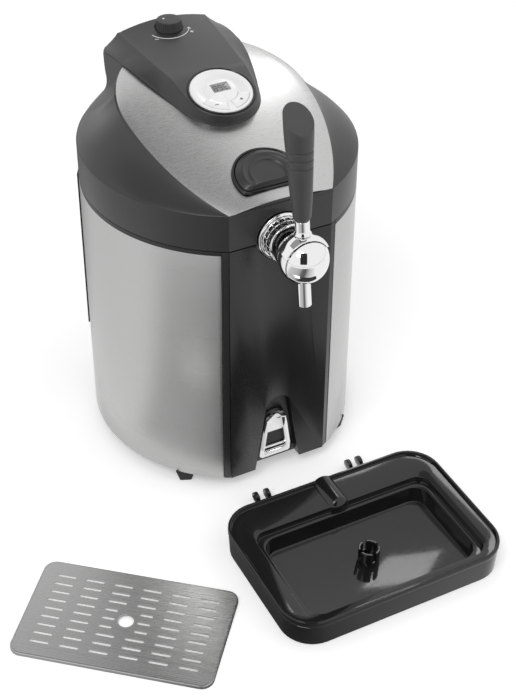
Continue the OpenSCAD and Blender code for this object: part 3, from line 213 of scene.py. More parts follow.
class Finish:
    """A material and the few calls that build its tree."""

    def __init__(self, name):
        self.material = bpy.data.materials.new(name)
        self.material.use_nodes = True
        self.tree = self.material.node_tree
        self.shader = self.tree.nodes["Principled BSDF"]
        self.place = self.node("ShaderNodeTexCoord").outputs["Object"]

    def node(self, kind, settings=None, links=None):
        made = self.tree.nodes.new(kind)
        for key, value in (settings or {}).items():
            setattr(made, key, value)
        for key, value in (links or {}).items():
            self.feed(made.inputs[key], value)
        return made

    def feed(self, socket, value):
        if isinstance(value, Num):
            value = value.socket
        if isinstance(value, bpy.types.NodeSocket):
            self.tree.links.new(value, socket)
        else:
            socket.default_value = value

    def num(self, kind, settings=None, links=None, output=0):
        return Num(self, self.node(kind, settings, links).outputs[output])

    def stretch(self, scale, turn=0.0):
        turned = self.node("ShaderNodeMapping", {}, {
            "Vector": self.place, "Rotation": (0, 0, turn)}).outputs[0]
        return self.node("ShaderNodeMapping", {}, {"Vector": turned, "Scale": scale}).outputs[0]

    def noise(self, scale, detail=2.0, place=None, rough=0.5):
        return self.num("ShaderNodeTexNoise", {}, {
            "Vector": place or self.place, "Scale": scale, "Detail": detail,
            "Roughness": rough})

    def cells(self, scale, place=None):
        return self.num("ShaderNodeTexVoronoi", {}, {
            "Vector": place or self.place, "Scale": scale})

    def shade(self, mask, dark, light):
        mixed = self.node("ShaderNodeMix", {"data_type": "RGBA"}, {
            0: mask, 6: (*dark, 1), 7: (*light, 1)})
        return mixed.outputs[2]

    def clamp(self, value, low=0.0, high=1.0, to_low=0.0, to_high=1.0):
        return self.num("ShaderNodeMapRange", {}, {
            0: value, 1: low, 2: high, 3: to_low, 4: to_high})

    def bump(self, height, strength, distance):
        self.feed(self.shader.inputs["Normal"], self.node("ShaderNodeBump", {}, {
            "Height": height, "Strength": strength, "Distance": distance}).outputs[0])

    def ends_in(self, shader):
        """Shows this shader in place of the Principled one."""
        end = [n for n in self.tree.nodes if n.type == "OUTPUT_MATERIAL"][0]
        self.tree.links.new(shader.outputs[0], end.inputs["Surface"])

    def set(self, **values):
        for key, value in values.items():
            self.feed(self.shader.inputs[key.replace("_", " ")], value)
        return self


def grey(value):
    return (value, value, value * 1.01)


def moulded(name, level, rough, grain=900.0, depth=0.00006, tint=(1, 1, 1), coat=0.0):
    """Moulded plastic: a fine spark-eroded grain, faint flow marks and a handled sheen."""
    f = Finish(name)
    flow = f.noise(9.0, 3.0)
    fine = f.noise(grain, 2.0)
    base = [level * c for c in tint]
    f.feed(f.shader.inputs["Base Color"], f.shade(
        f.clamp(flow, 0.3, 0.7), [c * 0.9 for c in base], [c * 1.1 for c in base]))
    f.set(Roughness=f.clamp(flow * 0.6 + fine * 0.4, 0.3, 0.7, rough - 0.04, rough + 0.05))
    f.shader.inputs["Specular IOR Level"].default_value = 0.5
    f.shader.inputs["Coat Weight"].default_value = coat
    f.bump(fine, 0.35, depth)
    return f.material


def brushed(name, level, rough, lines, contrast=0.10, turn=0.0):
    """Brushed sheet steel; lines scales the noise, small along the strokes."""
    f = Finish(name)
    strokes = f.noise(1.0, 3.0, f.stretch(lines, turn), 0.6)
    hairs = f.noise(1.0, 1.0, f.stretch([v * 2.7 for v in lines], turn), 0.5)
    cloud = f.noise(7.0, 2.0)
    mask = f.clamp(strokes * 0.6 + hairs * 0.25 + cloud * 0.15, 0.32, 0.68)
    dark, light = level * (1 - contrast), level * (1 + contrast)
    f.feed(f.shader.inputs["Base Color"], f.shade(
        mask, (dark, dark, dark * 0.99), (light, light, light)))
    f.set(Metallic=1.0, Roughness=f.clamp(mask, 0.0, 1.0, rough - 0.05, rough + 0.08))
    f.bump(strokes + hairs * 0.5, 0.12, 0.00002)
    return f.material


def polished(name, level, rough, tint=(1, 1, 1)):
    """Plated or polished metal with the faint haze of a wiped surface."""
    f = Finish(name)
    haze = f.noise(60.0, 3.0)
    base = [level * c for c in tint]
    f.feed(f.shader.inputs["Base Color"], f.shade(haze, [c * 0.96 for c in base], base))
    f.set(Metallic=1.0, Roughness=f.clamp(haze, 0.35, 0.7, rough, rough + 0.03))
    return f.material


def glossy(name, level, rough, waves=0.00002):
    """Gloss plastic: near mirror, with a slow ripple from the mould."""
    f = Finish(name)
    ripple = f.noise(26.0, 1.0)
    f.feed(f.shader.inputs["Base Color"], f.shade(
        ripple, grey(level * 0.9), grey(level * 1.1)))
    f.set(Roughness=f.clamp(f.noise(240.0, 2.0), 0.3, 0.7, rough, rough + 0.05))
    f.bump(ripple, 0.3, waves)
    return f.material


def foam(name, colour):
    f = Finish(name)
    beads = f.cells(260.0)
    f.feed(f.shader.inputs["Base Color"], f.shade(
        beads, [c * 0.8 for c in colour], colour))
    f.set(Roughness=0.9)
    f.bump(beads, 0.6, 0.0004)
    return f.material


def board(name):
    f = Finish(name)
    tracks = f.num("ShaderNodeTexWave", {"wave_type": "BANDS", "bands_direction": "DIAGONAL"}, {
        "Vector": f.place, "Scale": 220.0, "Distortion": 3.0, "Detail": 0.0}, 1)
    f.feed(f.shader.inputs["Base Color"], f.shade(
        f.clamp(tracks, 0.45, 0.55), (0.02, 0.16, 0.06), (0.05, 0.24, 0.10)))
    f.set(Roughness=0.35)
    f.bump(tracks, 0.2, 0.00005)
    return f.material


def printed(name, colour, rough=0.45):
    """Ink or paint laid on a part, a little uneven."""
    f = Finish(name)
    f.feed(f.shader.inputs["Base Color"], f.shade(
        f.noise(500.0, 2.0), [c * 0.92 for c in colour], colour))
    f.set(Roughness=rough)
    return f.material


def hose(name, level):
    f = Finish(name)
    f.feed(f.shader.inputs["Base Color"], f.shade(
        f.noise(40.0, 2.0), grey(level * 0.9), grey(level)))
    f.set(Roughness=0.32)
    f.bump(f.noise(500.0, 1.0), 0.2, 0.00004)
    return f.material


SATIN = moulded("satin_black_plastic", 0.026, 0.33)
FRONT = moulded("front_black_plastic", 0.012, 0.28, depth=0.00004)
DARK = moulded("dark_trim_plastic", 0.012, 0.40)
POD = moulded("pod_black_plastic", 0.030, 0.33)
GRIP = moulded("handle_grip_plastic", 0.050, 0.46, grain=1300.0)
RUBBER = moulded("foot_rubber", 0.018, 0.70, grain=700.0, depth=0.00012)
PALE = moulded("pale_liner_plastic", 0.62, 0.45)
SILVER = moulded("silver_keypad_lacquer", 0.80, 0.30, grain=1500.0, depth=0.00002, coat=0.3)
CERAMIC = moulded("module_ceramic", 0.70, 0.65, tint=(1, 0.97, 0.9))
STEEL_SIDE = brushed("brushed_steel_sides", 0.50, 0.30, (5.0, 5.0, 1400.0), 0.025)
STEEL_TOP = brushed("brushed_steel_top", 0.54, 0.28, (4.0, 1400.0, 1400.0), 0.025)
STEEL_GRATE = brushed("brushed_steel_grate", 0.50, 0.26, (6.0, 1200.0, 6.0), 0.05, -GRATE_TURN)
STEEL = brushed("turned_steel", 0.50, 0.28, (500.0, 60.0, 500.0))
ALUMINIUM = brushed("spun_aluminium", 0.62, 0.34, (10.0, 10.0, 700.0))
CHROME = polished("chrome_plate", 0.86, 0.03)
BRASS = polished("turned_brass", 0.70, 0.22, (1.0, 0.76, 0.40))
GLOSS = glossy("gloss_black_plastic", 0.012, 0.10)
TRAY_GLOSS = glossy("tray_black_plastic", 0.012, 0.05, 0.00002)
SCREEN = glossy("display_screen", 0.30, 0.16)
FOAM = foam("insulating_foam", (0.82, 0.80, 0.70))
BOARD = board("circuit_board")
WHITE_INK = printed("white_print", (0.85, 0.85, 0.84))
DARK_INK = printed("dark_print", (0.06, 0.06, 0.065))
HOSE = hose("line_hose", 0.30)


# ---------------------------------------------------------------- mesh helpers

def keep_mesh(name, bm, material, smooth=32.0, recalc=True):
    """A bmesh in millimetres becomes an object in metres, smooth up to a sharp angle."""
    if recalc:
        bmesh.ops.recalc_face_normals(bm, faces=bm.faces)
    mesh = bpy.data.meshes.new(name)
    bmesh.ops.scale(bm, vec=(MM, MM, MM), verts=bm.verts)
    bm.to_mesh(mesh)
    bm.free()
    mesh.materials.append(material)
    mesh.shade_smooth()
    mesh.set_sharp_from_angle(angle=math.radians(smooth))
    made = bpy.data.objects.new(name, mesh)
    bpy.context.scene.collection.objects.link(made)
    return made


def baked(obj, smooth=None):
    """Applies every modifier of obj and drops them."""
    bpy.context.view_layer.update()
    graph = bpy.context.evaluated_depsgraph_get()
    mesh = bpy.data.meshes.new_from_object(obj.evaluated_get(graph))
    obj.modifiers.clear()
    obj.data = mesh
    if smooth:
        mesh.shade_smooth()
        mesh.set_sharp_from_angle(angle=math.radians(smooth))
    return obj


def bevelled(obj, width, angle=40.0, segments=2, smooth=32.0):
    """Rounds the sharp edges of obj; width in millimetres."""
    rounding = obj.modifiers.new("edge", "BEVEL")
    rounding.width = width * MM
    rounding.segments = segments
    rounding.limit_method = "ANGLE"
    rounding.angle_limit = math.radians(angle)
    rounding.use_clamp_overlap = True
    return baked(obj, smooth)


def cut(obj, cutter):
    """Takes cutter's solid out of obj, and drops the cutter."""
    hole = obj.modifiers.new("cut", "BOOLEAN")
    hole.operation = "DIFFERENCE"
    hole.solver = "EXACT"
    hole.object = cutter
    baked(obj)
    bpy.data.objects.remove(cutter)
    return obj


def loft(name, rings, material, caps=True, smooth=32.0, place=None):
    """Skin through rings of points; caps close the first and the last ring."""
    bm = bmesh.new()
    rows = [[bm.verts.new(p) for p in ring] for ring in rings]
    count = len(rows[0])
    for low, high in zip(rows, rows[1:]):
        for i in range(count):
            j = (i + 1) % count
            bm.faces.new((low[i], low[j], high[j], high[i]))
    if caps:
        bm.faces.new(list(reversed(rows[0])))
        bm.faces.new(rows[-1])
    if place is not None:
        bmesh.ops.transform(bm, matrix=place, verts=bm.verts)
    return keep_mesh(name, bm, material, smooth)


def lathe(name, profile, material, place=None, steps=96, smooth=32.0):
    """Turns a closed profile of (radius, height) about Z; radius 0 ends it on the axis."""
    bm = bmesh.new()
    rows = []
    for radius, height in profile:
        if radius < 1e-6:
            rows.append([bm.verts.new((0, 0, height))])
            continue
        rows.append([bm.verts.new((radius * math.cos(a), radius * math.sin(a), height))
                     for a in (2 * math.pi * i / steps for i in range(steps))])
    for low, high in zip(rows, rows[1:]):
        for i in range(steps):
            j = (i + 1) % steps
            corners = [low[i % len(low)], low[j % len(low)],
                       high[j % len(high)], high[i % len(high)]]
            corners = list(dict.fromkeys(corners))
            if len(corners) > 2:
                bm.faces.new(corners)
    if place is not None:
        bmesh.ops.transform(bm, matrix=place, verts=bm.verts)
    return keep_mesh(name, bm, material, smooth)


def rounded_profile(corners, radius=0.5, steps=3):
    """A profile with its inner corners rounded; the two ends stay as they are."""
    made = [corners[0]]
    for before, here, after in zip(corners, corners[1:], corners[2:]):
        a, p, b = Vector(before), Vector(here), Vector(after)
        reach = min(radius, (a - p).length * 0.45, (b - p).length * 0.45)
        if reach < 1e-4:
            made.append(here)
            continue
        start, end = p + (a - p).normalized() * reach, p + (b - p).normalized() * reach
        for i in range(steps + 1):
            t = i / steps
            made.append(tuple(start * (1 - t) ** 2 + p * 2 * t * (1 - t) + end * t * t))
    return made + [corners[-1]]


def rounded_rect(size, radius, middle=(0.0, 0.0), steps=8):
    """Points of a rounded rectangle, always the same number for the same steps."""
    points = []
    for quarter, (sx, sy) in enumerate(((1, 1), (-1, 1), (-1, -1), (1, -1))):
        cx = middle[0] + sx * (size[0] / 2 - radius)
        cy = middle[1] + sy * (size[1] / 2 - radius)
        for i in range(steps + 1):
            a = math.pi / 2 * (quarter + i / steps)
            points.append((cx + radius * math.cos(a), cy + radius * math.sin(a)))
    return points


def half_moon(radius, flat, corner):
    """Outline of the release button: a disc cut straight in front, corners rounded."""
    cy = corner - flat
    cx = math.sqrt((radius - corner) ** 2 - cy ** 2)
    lean = math.atan2(cy, cx)
    points = [(-cx + 2 * cx * i / 12, -flat) for i in range(12)]
    for i in range(9):
        a = -math.pi / 2 + (lean + math.pi / 2) * i / 8
        points.append((cx + corner * math.cos(a), cy + corner * math.sin(a)))
    for i in range(1, 60):
        a = lean + (math.pi - 2 * lean) * i / 60
        points.append((radius * math.cos(a), radius * math.sin(a)))
    for i in range(9):
        a = math.pi - lean + (lean + math.pi / 2) * i / 8
        points.append((-cx + corner * math.cos(a), cy + corner * math.sin(a)))
    return points[:-1]


def tube(name, path, radius, material, sides=10, closed=False):
    """A thin bead that follows a path of points."""
    rings = []
    for i, p in enumerate(path):
        if closed:
            ahead, behind = path[(i + 1) % len(path)], path[i - 1]
        else:
            ahead, behind = path[min(i + 1, len(path) - 1)], path[max(i - 1, 0)]
        along = (Vector(ahead) - Vector(behind)).normalized()
        side = along.cross(Vector((0, 0, 1))).normalized()
        up = side.cross(along)
        rings.append([Vector(p) + radius * (side * math.cos(a) + up * math.sin(a))
                      for a in (2 * math.pi * k / sides for k in range(sides))])
    if closed:
        rings.append(rings[0])
    made = loft(name, rings, material, caps=not closed, smooth=60.0)
    if closed:
        bm = bmesh.new()
        bm.from_mesh(made.data)
        bmesh.ops.remove_doubles(bm, verts=bm.verts, dist=1e-7)
        bmesh.ops.recalc_face_normals(bm, faces=bm.faces)
        bm.to_mesh(made.data)
        bm.free()
    return made


def slab(name, outline, low, high, material, place=None, smooth=32.0):
    """A flat plate with an outline in its own plane."""
    rings = [[(x, y, z) for x, y in outline] for z in (low, high)]
    return loft(name, rings, material, place=place, smooth=smooth)


def joined(name, parts, material=None):
    """Several objects of one body become one mesh."""
    bm = bmesh.new()
    for part in parts:
        bm.from_mesh(part.data)
    mesh = bpy.data.meshes.new(name)
    bm.to_mesh(mesh)
    bm.free()
    mesh.materials.append(material or parts[0].data.materials[0])
    mesh.shade_smooth()
    mesh.set_sharp_from_angle(angle=math.radians(32))
    for part in parts:
        bpy.data.objects.remove(part)
    made = bpy.data.objects.new(name, mesh)
    bpy.context.scene.collection.objects.link(made)
    return made


def dressed(node, name, material, edge):
    """A copy of a CAD node with its facets merged and its edges rounded."""
    bm = bmesh.new()
    bm.from_mesh(frame["nodes"][node].data)
    bmesh.ops.remove_doubles(bm, verts=bm.verts, dist=2e-6)
    bmesh.ops.dissolve_limit(bm, angle_limit=math.radians(0.6),
                             verts=bm.verts, edges=bm.edges)
    bmesh.ops.scale(bm, vec=(1 / MM,) * 3, verts=bm.verts)
    made = keep_mesh(name, bm, material, 30.0, recalc=False)
    stand_for(bevelled(made, edge, smooth=30.0), node)


def body_of(node):
    """The body that a node belongs to."""
    bodies = frame["record"]["behaviour"]["bodies"]
    return [body for body, members in bodies.items() if node in members][0]


def stand_for(piece, node):
    """The piece takes the place of a node, on its body, and the node is hidden."""
    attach(piece, body_of(node))
    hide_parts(node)


def add_on(piece, body):
    """A small piece of its own, such as print or trim, on a body."""
    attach(piece, body)


def moved(obj, place):
    """Puts a mesh that was made about the origin at its place in millimetres."""
    shift = place.copy()
    shift.translation = shift.translation * MM
    obj.data.transform(shift)
    return obj


def at(origin, tilt_x=0.0, turn_z=0.0):
    """A place in millimetres, turned about Z after a tilt about X."""
    return (Matrix.Translation(Vector(origin)) @ Matrix.Rotation(turn_z, 4, "Z")
            @ Matrix.Rotation(tilt_x, 4, "X"))


AT_BUTTON = at((0, BUTTON_Y, wedge_z(BUTTON_Y) + CROWN_H), WEDGE_A)
AT_DISC = at((0, DISC_Y, DISC_Z), DISC_A)
AT_LEVER = at(TAP, -LEAN)


# ---------------------------------------------------------------- geometry nodes

class Repeat:
    """A Geometry Nodes tree that copies a small piece to many places."""

    def __init__(self, name, sizes):
        self.tree = bpy.data.node_groups.new(name, "GeometryNodeTree")
        face = self.tree.interface
        face.new_socket("Geometry", in_out="INPUT", socket_type="NodeSocketGeometry")
        self.ids = {}
        for label, value in sizes.items():
            kind = "NodeSocketInt" if isinstance(value, int) else "NodeSocketFloat"
            self.ids[label] = face.new_socket(label, in_out="INPUT", socket_type=kind).identifier
        face.new_socket("Geometry", in_out="OUTPUT", socket_type="NodeSocketGeometry")
        self.sizes = sizes
        self.start = self.tree.nodes.new("NodeGroupInput")
        self.end = self.tree.nodes.new("NodeGroupOutput")

    def add(self, kind, settings=None, links=None):
        made = self.tree.nodes.new(kind)
        for key, value in (settings or {}).items():
            setattr(made, key, value)
        for key, value in (links or {}).items():
            if isinstance(value, bpy.types.NodeSocket):
                self.tree.links.new(value, made.inputs[key])
            else:
                made.inputs[key].default_value = value
        return made

    def math(self, kind, first, second):
        return self.add("ShaderNodeMath", {"operation": kind}, {0: first, 1: second}).outputs[0]

    def size(self, label):
        return self.start.outputs[label]

    def run(self, name, piece, places, turn, material):
        """Puts piece at every place, turned about Z, and gives the plain mesh."""
        source = self.add("GeometryNodeObjectInfo", {}, {"Object": piece}).outputs["Geometry"]
        angle = self.add("ShaderNodeCombineXYZ", {}, {"Z": turn}).outputs[0]
        copies = self.add("GeometryNodeInstanceOnPoints", {}, {
            "Points": places, "Instance": source, "Rotation": angle}).outputs[0]
        solid = self.add("GeometryNodeRealizeInstances", {}, {0: copies}).outputs[0]
        done = self.add("GeometryNodeSetMaterial", {}, {0: solid, "Material": material})
        self.tree.links.new(done.outputs[0], self.end.inputs[0])
        mesh = bpy.data.meshes.new(name)
        made = bpy.data.objects.new(name, mesh)
        bpy.context.scene.collection.objects.link(made)
        modifier = made.modifiers.new("repeat", "NODES")
        modifier.node_group = self.tree
        for label, value in self.sizes.items():
            modifier[self.ids[label]] = value
        baked(made, 40.0)
        bpy.data.objects.remove(piece)
        return made


def round_repeat(name, piece, count, radius, material, place):
    """Copies piece about Z at a radius, each turned to face out, then moves the ring."""
    g = Repeat(name + "_tree", {"Count": count, "Radius": radius * MM})
    line = g.add("GeometryNodeMeshLine", {}, {"Count": g.size("Count")}).outputs[0]
    index = g.add("GeometryNodeInputIndex").outputs[0]
    turn = g.math("DIVIDE", g.math("MULTIPLY", index, 2 * math.pi), g.size("Count"))
    x = g.math("MULTIPLY", g.math("COSINE", turn, 0.0), g.size("Radius"))
    y = g.math("MULTIPLY", g.math("SINE", turn, 0.0), g.size("Radius"))
    spot = g.add("ShaderNodeCombineXYZ", {}, {"X": x, "Y": y}).outputs[0]
    places = g.add("GeometryNodeSetPosition", {}, {0: line, "Position": spot}).outputs[0]
    return moved(g.run(name, piece, places, turn, material), place)


def grid_repeat(name, piece, columns, rows, pitch_x, pitch_y, material, place):
    """Copies piece over a level grid about the origin, then moves the whole to its place."""
    g = Repeat(name + "_tree", {"Columns": columns, "Rows": rows,
                                "Width": (columns - 1) * pitch_x * MM,
                                "Depth": (rows - 1) * pitch_y * MM})
    grid = g.add("GeometryNodeMeshGrid", {}, {
        "Size X": g.size("Width"), "Size Y": g.size("Depth"),
        "Vertices X": g.size("Columns"), "Vertices Y": g.size("Rows")}).outputs[0]
    return moved(g.run(name, piece, grid, 0.0, material), place)


# ---------------------------------------------------------------- body

def side_point(angle, inset, side):
    """A point of the body's outline, by the angle about a side's centre from the front."""
    a = math.radians(angle)
    return (side * (SIDE_C + (SIDE_R - inset) * math.sin(a)), -(SIDE_R - inset) * math.cos(a))


RIDGE = math.degrees(math.atan((HALF_F - SIDE_C) / HALF_D))
POST = RIDGE + math.degrees(7.5 / SIDE_R)
STEEL_BACK = 90 + math.degrees(math.asin(72.0 / SIDE_R))


def curved_sheet(name, side, start, end, outer, inner, low, high, material, count=72):
    """Bent sheet that follows the body's side between two angles."""
    span = [start + (end - start) * i / count for i in range(count + 1)]
    outline = ([side_point(a, outer, side) for a in span]
               + [side_point(a, inner, side) for a in reversed(span)])
    return slab(name, outline, low, high, material, smooth=25.0)


def steel_sides():
    for side, node in ((-1, "left_panel"), (1, "right_panel")):
        sheet = curved_sheet(node + "_sheet", side, POST + 0.1, STEEL_BACK, 0.0, 1.2,
                             BASE_Z, TOP_Z - RIM_SHOW - 0.3, STEEL_SIDE)
        stand_for(bevelled(sheet, 0.35, 50.0, 2, 25.0), node)


def front_posts():
    for side, node in ((-1, "left_post"), (1, "right_post")):
        strip = curved_sheet(node + "_strip", side, RIDGE + 0.1, POST, 0.5, 2.5,
                             BASE_Z, TOP_Z - 0.3, FRONT, 12)
        stand_for(bevelled(strip, 0.4, 50.0, 2, 25.0), node)


# ---------------------------------------------------------------- lid

def cheek(t, k):
    """The cheek's curve from the crown, t = 0, to the band, t = 1: shares out and up."""
    near, far = 3 * (1 - t) ** 2 * t, 3 * (1 - t) * t * t
    return (near * (0.25 - 0.21 * k) + far * 0.8 + t ** 3,
            (1 - t) ** 3 + near * (0.57 - 0.54 * k) + far * (0.3 - 0.06 * k))


def lid_section(share):
    """Half section of the lid's cover at one share of its depth, from its foot to its crown."""
    yu = -HALF_D + 0.8 + (LID_REAR + HALF_D - 0.8) * share
    yl = -HALF_D + 2 * HALF_D * share
    xu, xl = crown_x(yu) - 0.4, plan_x(yl)
    zu = wedge_z(yu)
    t = min(1.0, max(0.0, yu / (LID_REAR - 20)))
    standing = t * t * (3 - 2 * t)
    points = [(xl, yl, LID_Z), (xl, yl, BAND_Z - 0.7), (xl - 0.15, yl, BAND_Z - 0.15),
              (xl - 0.6, yl, BAND_Z + 0.1)]
    xl -= 0.6
    for step in range(1, 29):
        out, up = cheek(1 - step / 28, standing)
        points.append((xu + (xl - xu) * out, yu + (yl - yu) * out,
                       BAND_Z + 0.1 + (zu - BAND_Z - 0.1) * up))
    edge = wedge_x(yu) if yu < WEDGE_BACK else 0.0
    seat = max(0.5, min(edge + 0.15, xu - 0.1))
    scale = crown_x(yu) / xu
    for k in (0.25, 0.5, 0.75, 1.0):
        x = xu + (seat - xu) * k
        points.append((x, yu, top_z(x * scale, yu)))
    for k in (1.0, 0.8, 0.6, 0.4, 0.2, 0.02):
        x = seat * k - (0.05 if k == 1.0 else 0.0)
        points.append((x, yu, top_z(x * scale, yu) - 1.4))
    return points


def lid_cover():
    shares = [0.012 * i for i in range(6)] + [0.06 + 0.94 * i / 84 for i in range(1, 85)]
    bm = bmesh.new()
    rows = []
    for share in shares:
        right = lid_section(share)
        full = right + [(-x, y, z) for x, y, z in reversed(right)]
        rows.append([bm.verts.new(p) for p in full])
    for low, high in zip(rows, rows[1:]):
        for j in range(len(low) - 1):
            bm.faces.new((low[j], low[j + 1], high[j + 1], high[j]))
    last = len(rows[0]) - 1
    for row in (rows[0], rows[-1]):
        for j in range(last // 2):
            bm.faces.new((row[j], row[j + 1], row[last - j - 1], row[last - j]))
    bmesh.ops.remove_doubles(bm, verts=bm.verts, dist=0.01)
    cover = keep_mesh("lid_cover", bm, SATIN, 24.0)
    wall = cover.modifiers.new("wall", "SOLIDIFY")
    wall.thickness = 2.4 * MM
    wall.offset = -1
    baked(cover)
    hole = slab("hole", half_moon(BUTTON_R + 2.3, BUTTON_FLAT + 2.3, 5), -20, 10, SATIN, AT_BUTTON)
    cut(cover, hole)
    notch = lathe("notch", [(0, -3.5), (26, -3.5), (26, 30), (0, 30)], SATIN,
                  at((0, -HALF_D, TAP.z), math.pi / 2))
    cut(cover, notch)
    cover.data.set_sharp_from_angle(angle=math.radians(24))
    stand_for(cover, "lid_shell")


def pod_sides(inset, side=5.0):
    """Right half of the pod's foot and top outlines, point by point, front to rear."""
    foot, top = [], []
    half = DISC_R + RING_W + 2 - inset
    turn = math.cos(DISC_A)
    for i in range(24):
        a = math.radians(-90 + 66 * i / 23)
        foot.append(((POD_R - inset) * math.cos(a), POD_ROUND_Y + (POD_R - inset) * math.sin(a)))
        top.append((half * math.cos(a), DISC_Y + half * turn * math.sin(a)))
    x0, y0 = top[-1]
    x1, y1 = POD_TOP_HALF - POD_TAPER * (LID_REAR - POD_TURN_Y) - inset, POD_TURN_Y
    x2, y2 = POD_TOP_HALF - POD_TAPER * (LID_REAR - 15.0) - inset, 15.0
    count = round((LID_REAR - inset - POD_TURN_Y) / side)
    for i in range(count + 1):
        y = POD_TURN_Y + (LID_REAR - inset - POD_TURN_Y) * i / count
        foot.append((pod_x(y) - inset, y))
        if y < y2:
            a, b = y0 - 2 * y1 + y2, 2 * (y1 - y0)
            t = (-b + math.sqrt(b * b - 4 * a * (y0 - y))) / (2 * a)
            top.append(((1 - t) ** 2 * x0 + 2 * t * (1 - t) * x1 + t * t * x2, y))
        else:
            top.append((POD_TOP_HALF - POD_TAPER * (LID_REAR - y) - inset, y))
    return foot, top


def steel_top():
    """Sheet over the lid: straight in front, bent over the crown, rounded at its tip."""
    ys = [-HALF_D + 0.3 + (HALF_D - 0.3) * i / 60 for i in range(60)]
    ys += [WEDGE_BACK * math.sin(math.pi / 2 * i / 60) for i in range(60)]
    ys.append(WEDGE_BACK - 0.4)
    across = [i / 10 for i in range(9, -10, -1)]
    bm = bmesh.new()
    rows = []
    for y in ys:
        w = max(0.4, wedge_x(y) - 0.3)
        z = top_z(w, y)
        half = [(w - 0.1, z - 1.2), (w, z - 1.05), (w, z - 0.45), (w - 0.15, z - 0.12),
                (w - 0.5, z)]
        ring = ([(x, y, h) for x, h in half]
                + [((w - 0.5) * k, y, top_z((w - 0.5) * k, y)) for k in across]
                + [(-x, y, h) for x, h in reversed(half)]
                + [((w - 0.1) * k, y, top_z((w - 0.1) * k, y) - 1.2) for k in reversed(across)])
        rows.append([bm.verts.new(p) for p in ring])
    count = len(rows[0])
    for low, high in zip(rows, rows[1:]):
        for j in range(count):
            k = (j + 1) % count
            bm.faces.new((low[j], low[k], high[k], high[j]))
    bm.faces.new(rows[0])
    bm.faces.new(list(reversed(rows[-1])))
    sheet = keep_mesh("lid_top_sheet", bm, STEEL_TOP, 28.0)
    hole = slab("hole", half_moon(BUTTON_R + 3.3, BUTTON_FLAT + 3.3, 5), -20, 10, STEEL_TOP,
                AT_BUTTON)
    cut(sheet, hole)
    right = pod_sides(2.5)[0]
    plan = right + [(-x, y) for x, y in reversed(right[1:])]
    cut(sheet, slab("hole", plan, BAND_Z, 460, STEEL_TOP))
    sheet.data.set_sharp_from_angle(angle=math.radians(28))
    stand_for(sheet, "lid_top_panel")


# ---------------------------------------------------------------- release button

def moon_rings(steps):
    """Rings of the half moon by (inset, inset of the flat edge, height)."""
    rings = []
    for inset, front, height in steps:
        corner = max(1.2, 6.0 - inset * 0.25)
        outline = half_moon(BUTTON_R - inset, BUTTON_FLAT - front, corner)
        rings.append([(x, y, height) for x, y in outline])
    return rings


def release_button():
    steps = [(0.0, 0.0, -5.9), (0.0, 0.0, 1.6), (0.3, 0.3, 2.3), (1.0, 0.8, 2.8),
             (2.6, 1.2, 3.6), (4.4, 1.5, 4.9), (5.6, 1.7, 5.7), (6.8, 1.9, 6.0), (8.0, 2.1, 5.7),
             (9.2, 2.3, 4.9), (10.4, 2.5, 4.2), (11.6, 2.7, 4.0), (12.6, 2.9, 4.3),
             (13.2, 3.0, 4.9), (13.8, 3.1, 5.2), (14.6, 3.2, 5.0), (15.2, 3.3, 4.1),
             (15.8, 3.4, 3.7), (17.4, 3.8, 3.6), (20.0, 6.0, 3.6)]
    button = loft("release_button", moon_rings(steps), SATIN, smooth=46.0, place=AT_BUTTON)
    stand_for(button, "lid_button")
    steps = [(-2.0, -2.0, -2.3), (-3.0, -3.0, 0.0), (-3.0, -3.0, 1.6), (-2.6, -2.6, 2.2),
             (-1.9, -1.9, 2.45), (-1.2, -1.2, 2.3), (-0.6, -0.6, 1.6), (-0.4, -0.4, 0.6),
             (-0.4, -0.4, -2.3)]
    rings = moon_rings(steps)
    bezel = loft("button_surround", rings + [rings[0]], GLOSS, caps=False, smooth=38.0,
                 place=AT_BUTTON)
    stand_for(welded(bezel), "button_bezel")


def welded(obj):
    """Closes the seam where a skin meets itself."""
    bm = bmesh.new()
    bm.from_mesh(obj.data)
    bmesh.ops.remove_doubles(bm, verts=bm.verts, dist=1e-6)
    bmesh.ops.recalc_face_normals(bm, faces=bm.faces)
    bm.to_mesh(obj.data)
    bm.free()
    return obj


# ---------------------------------------------------------------- control pod

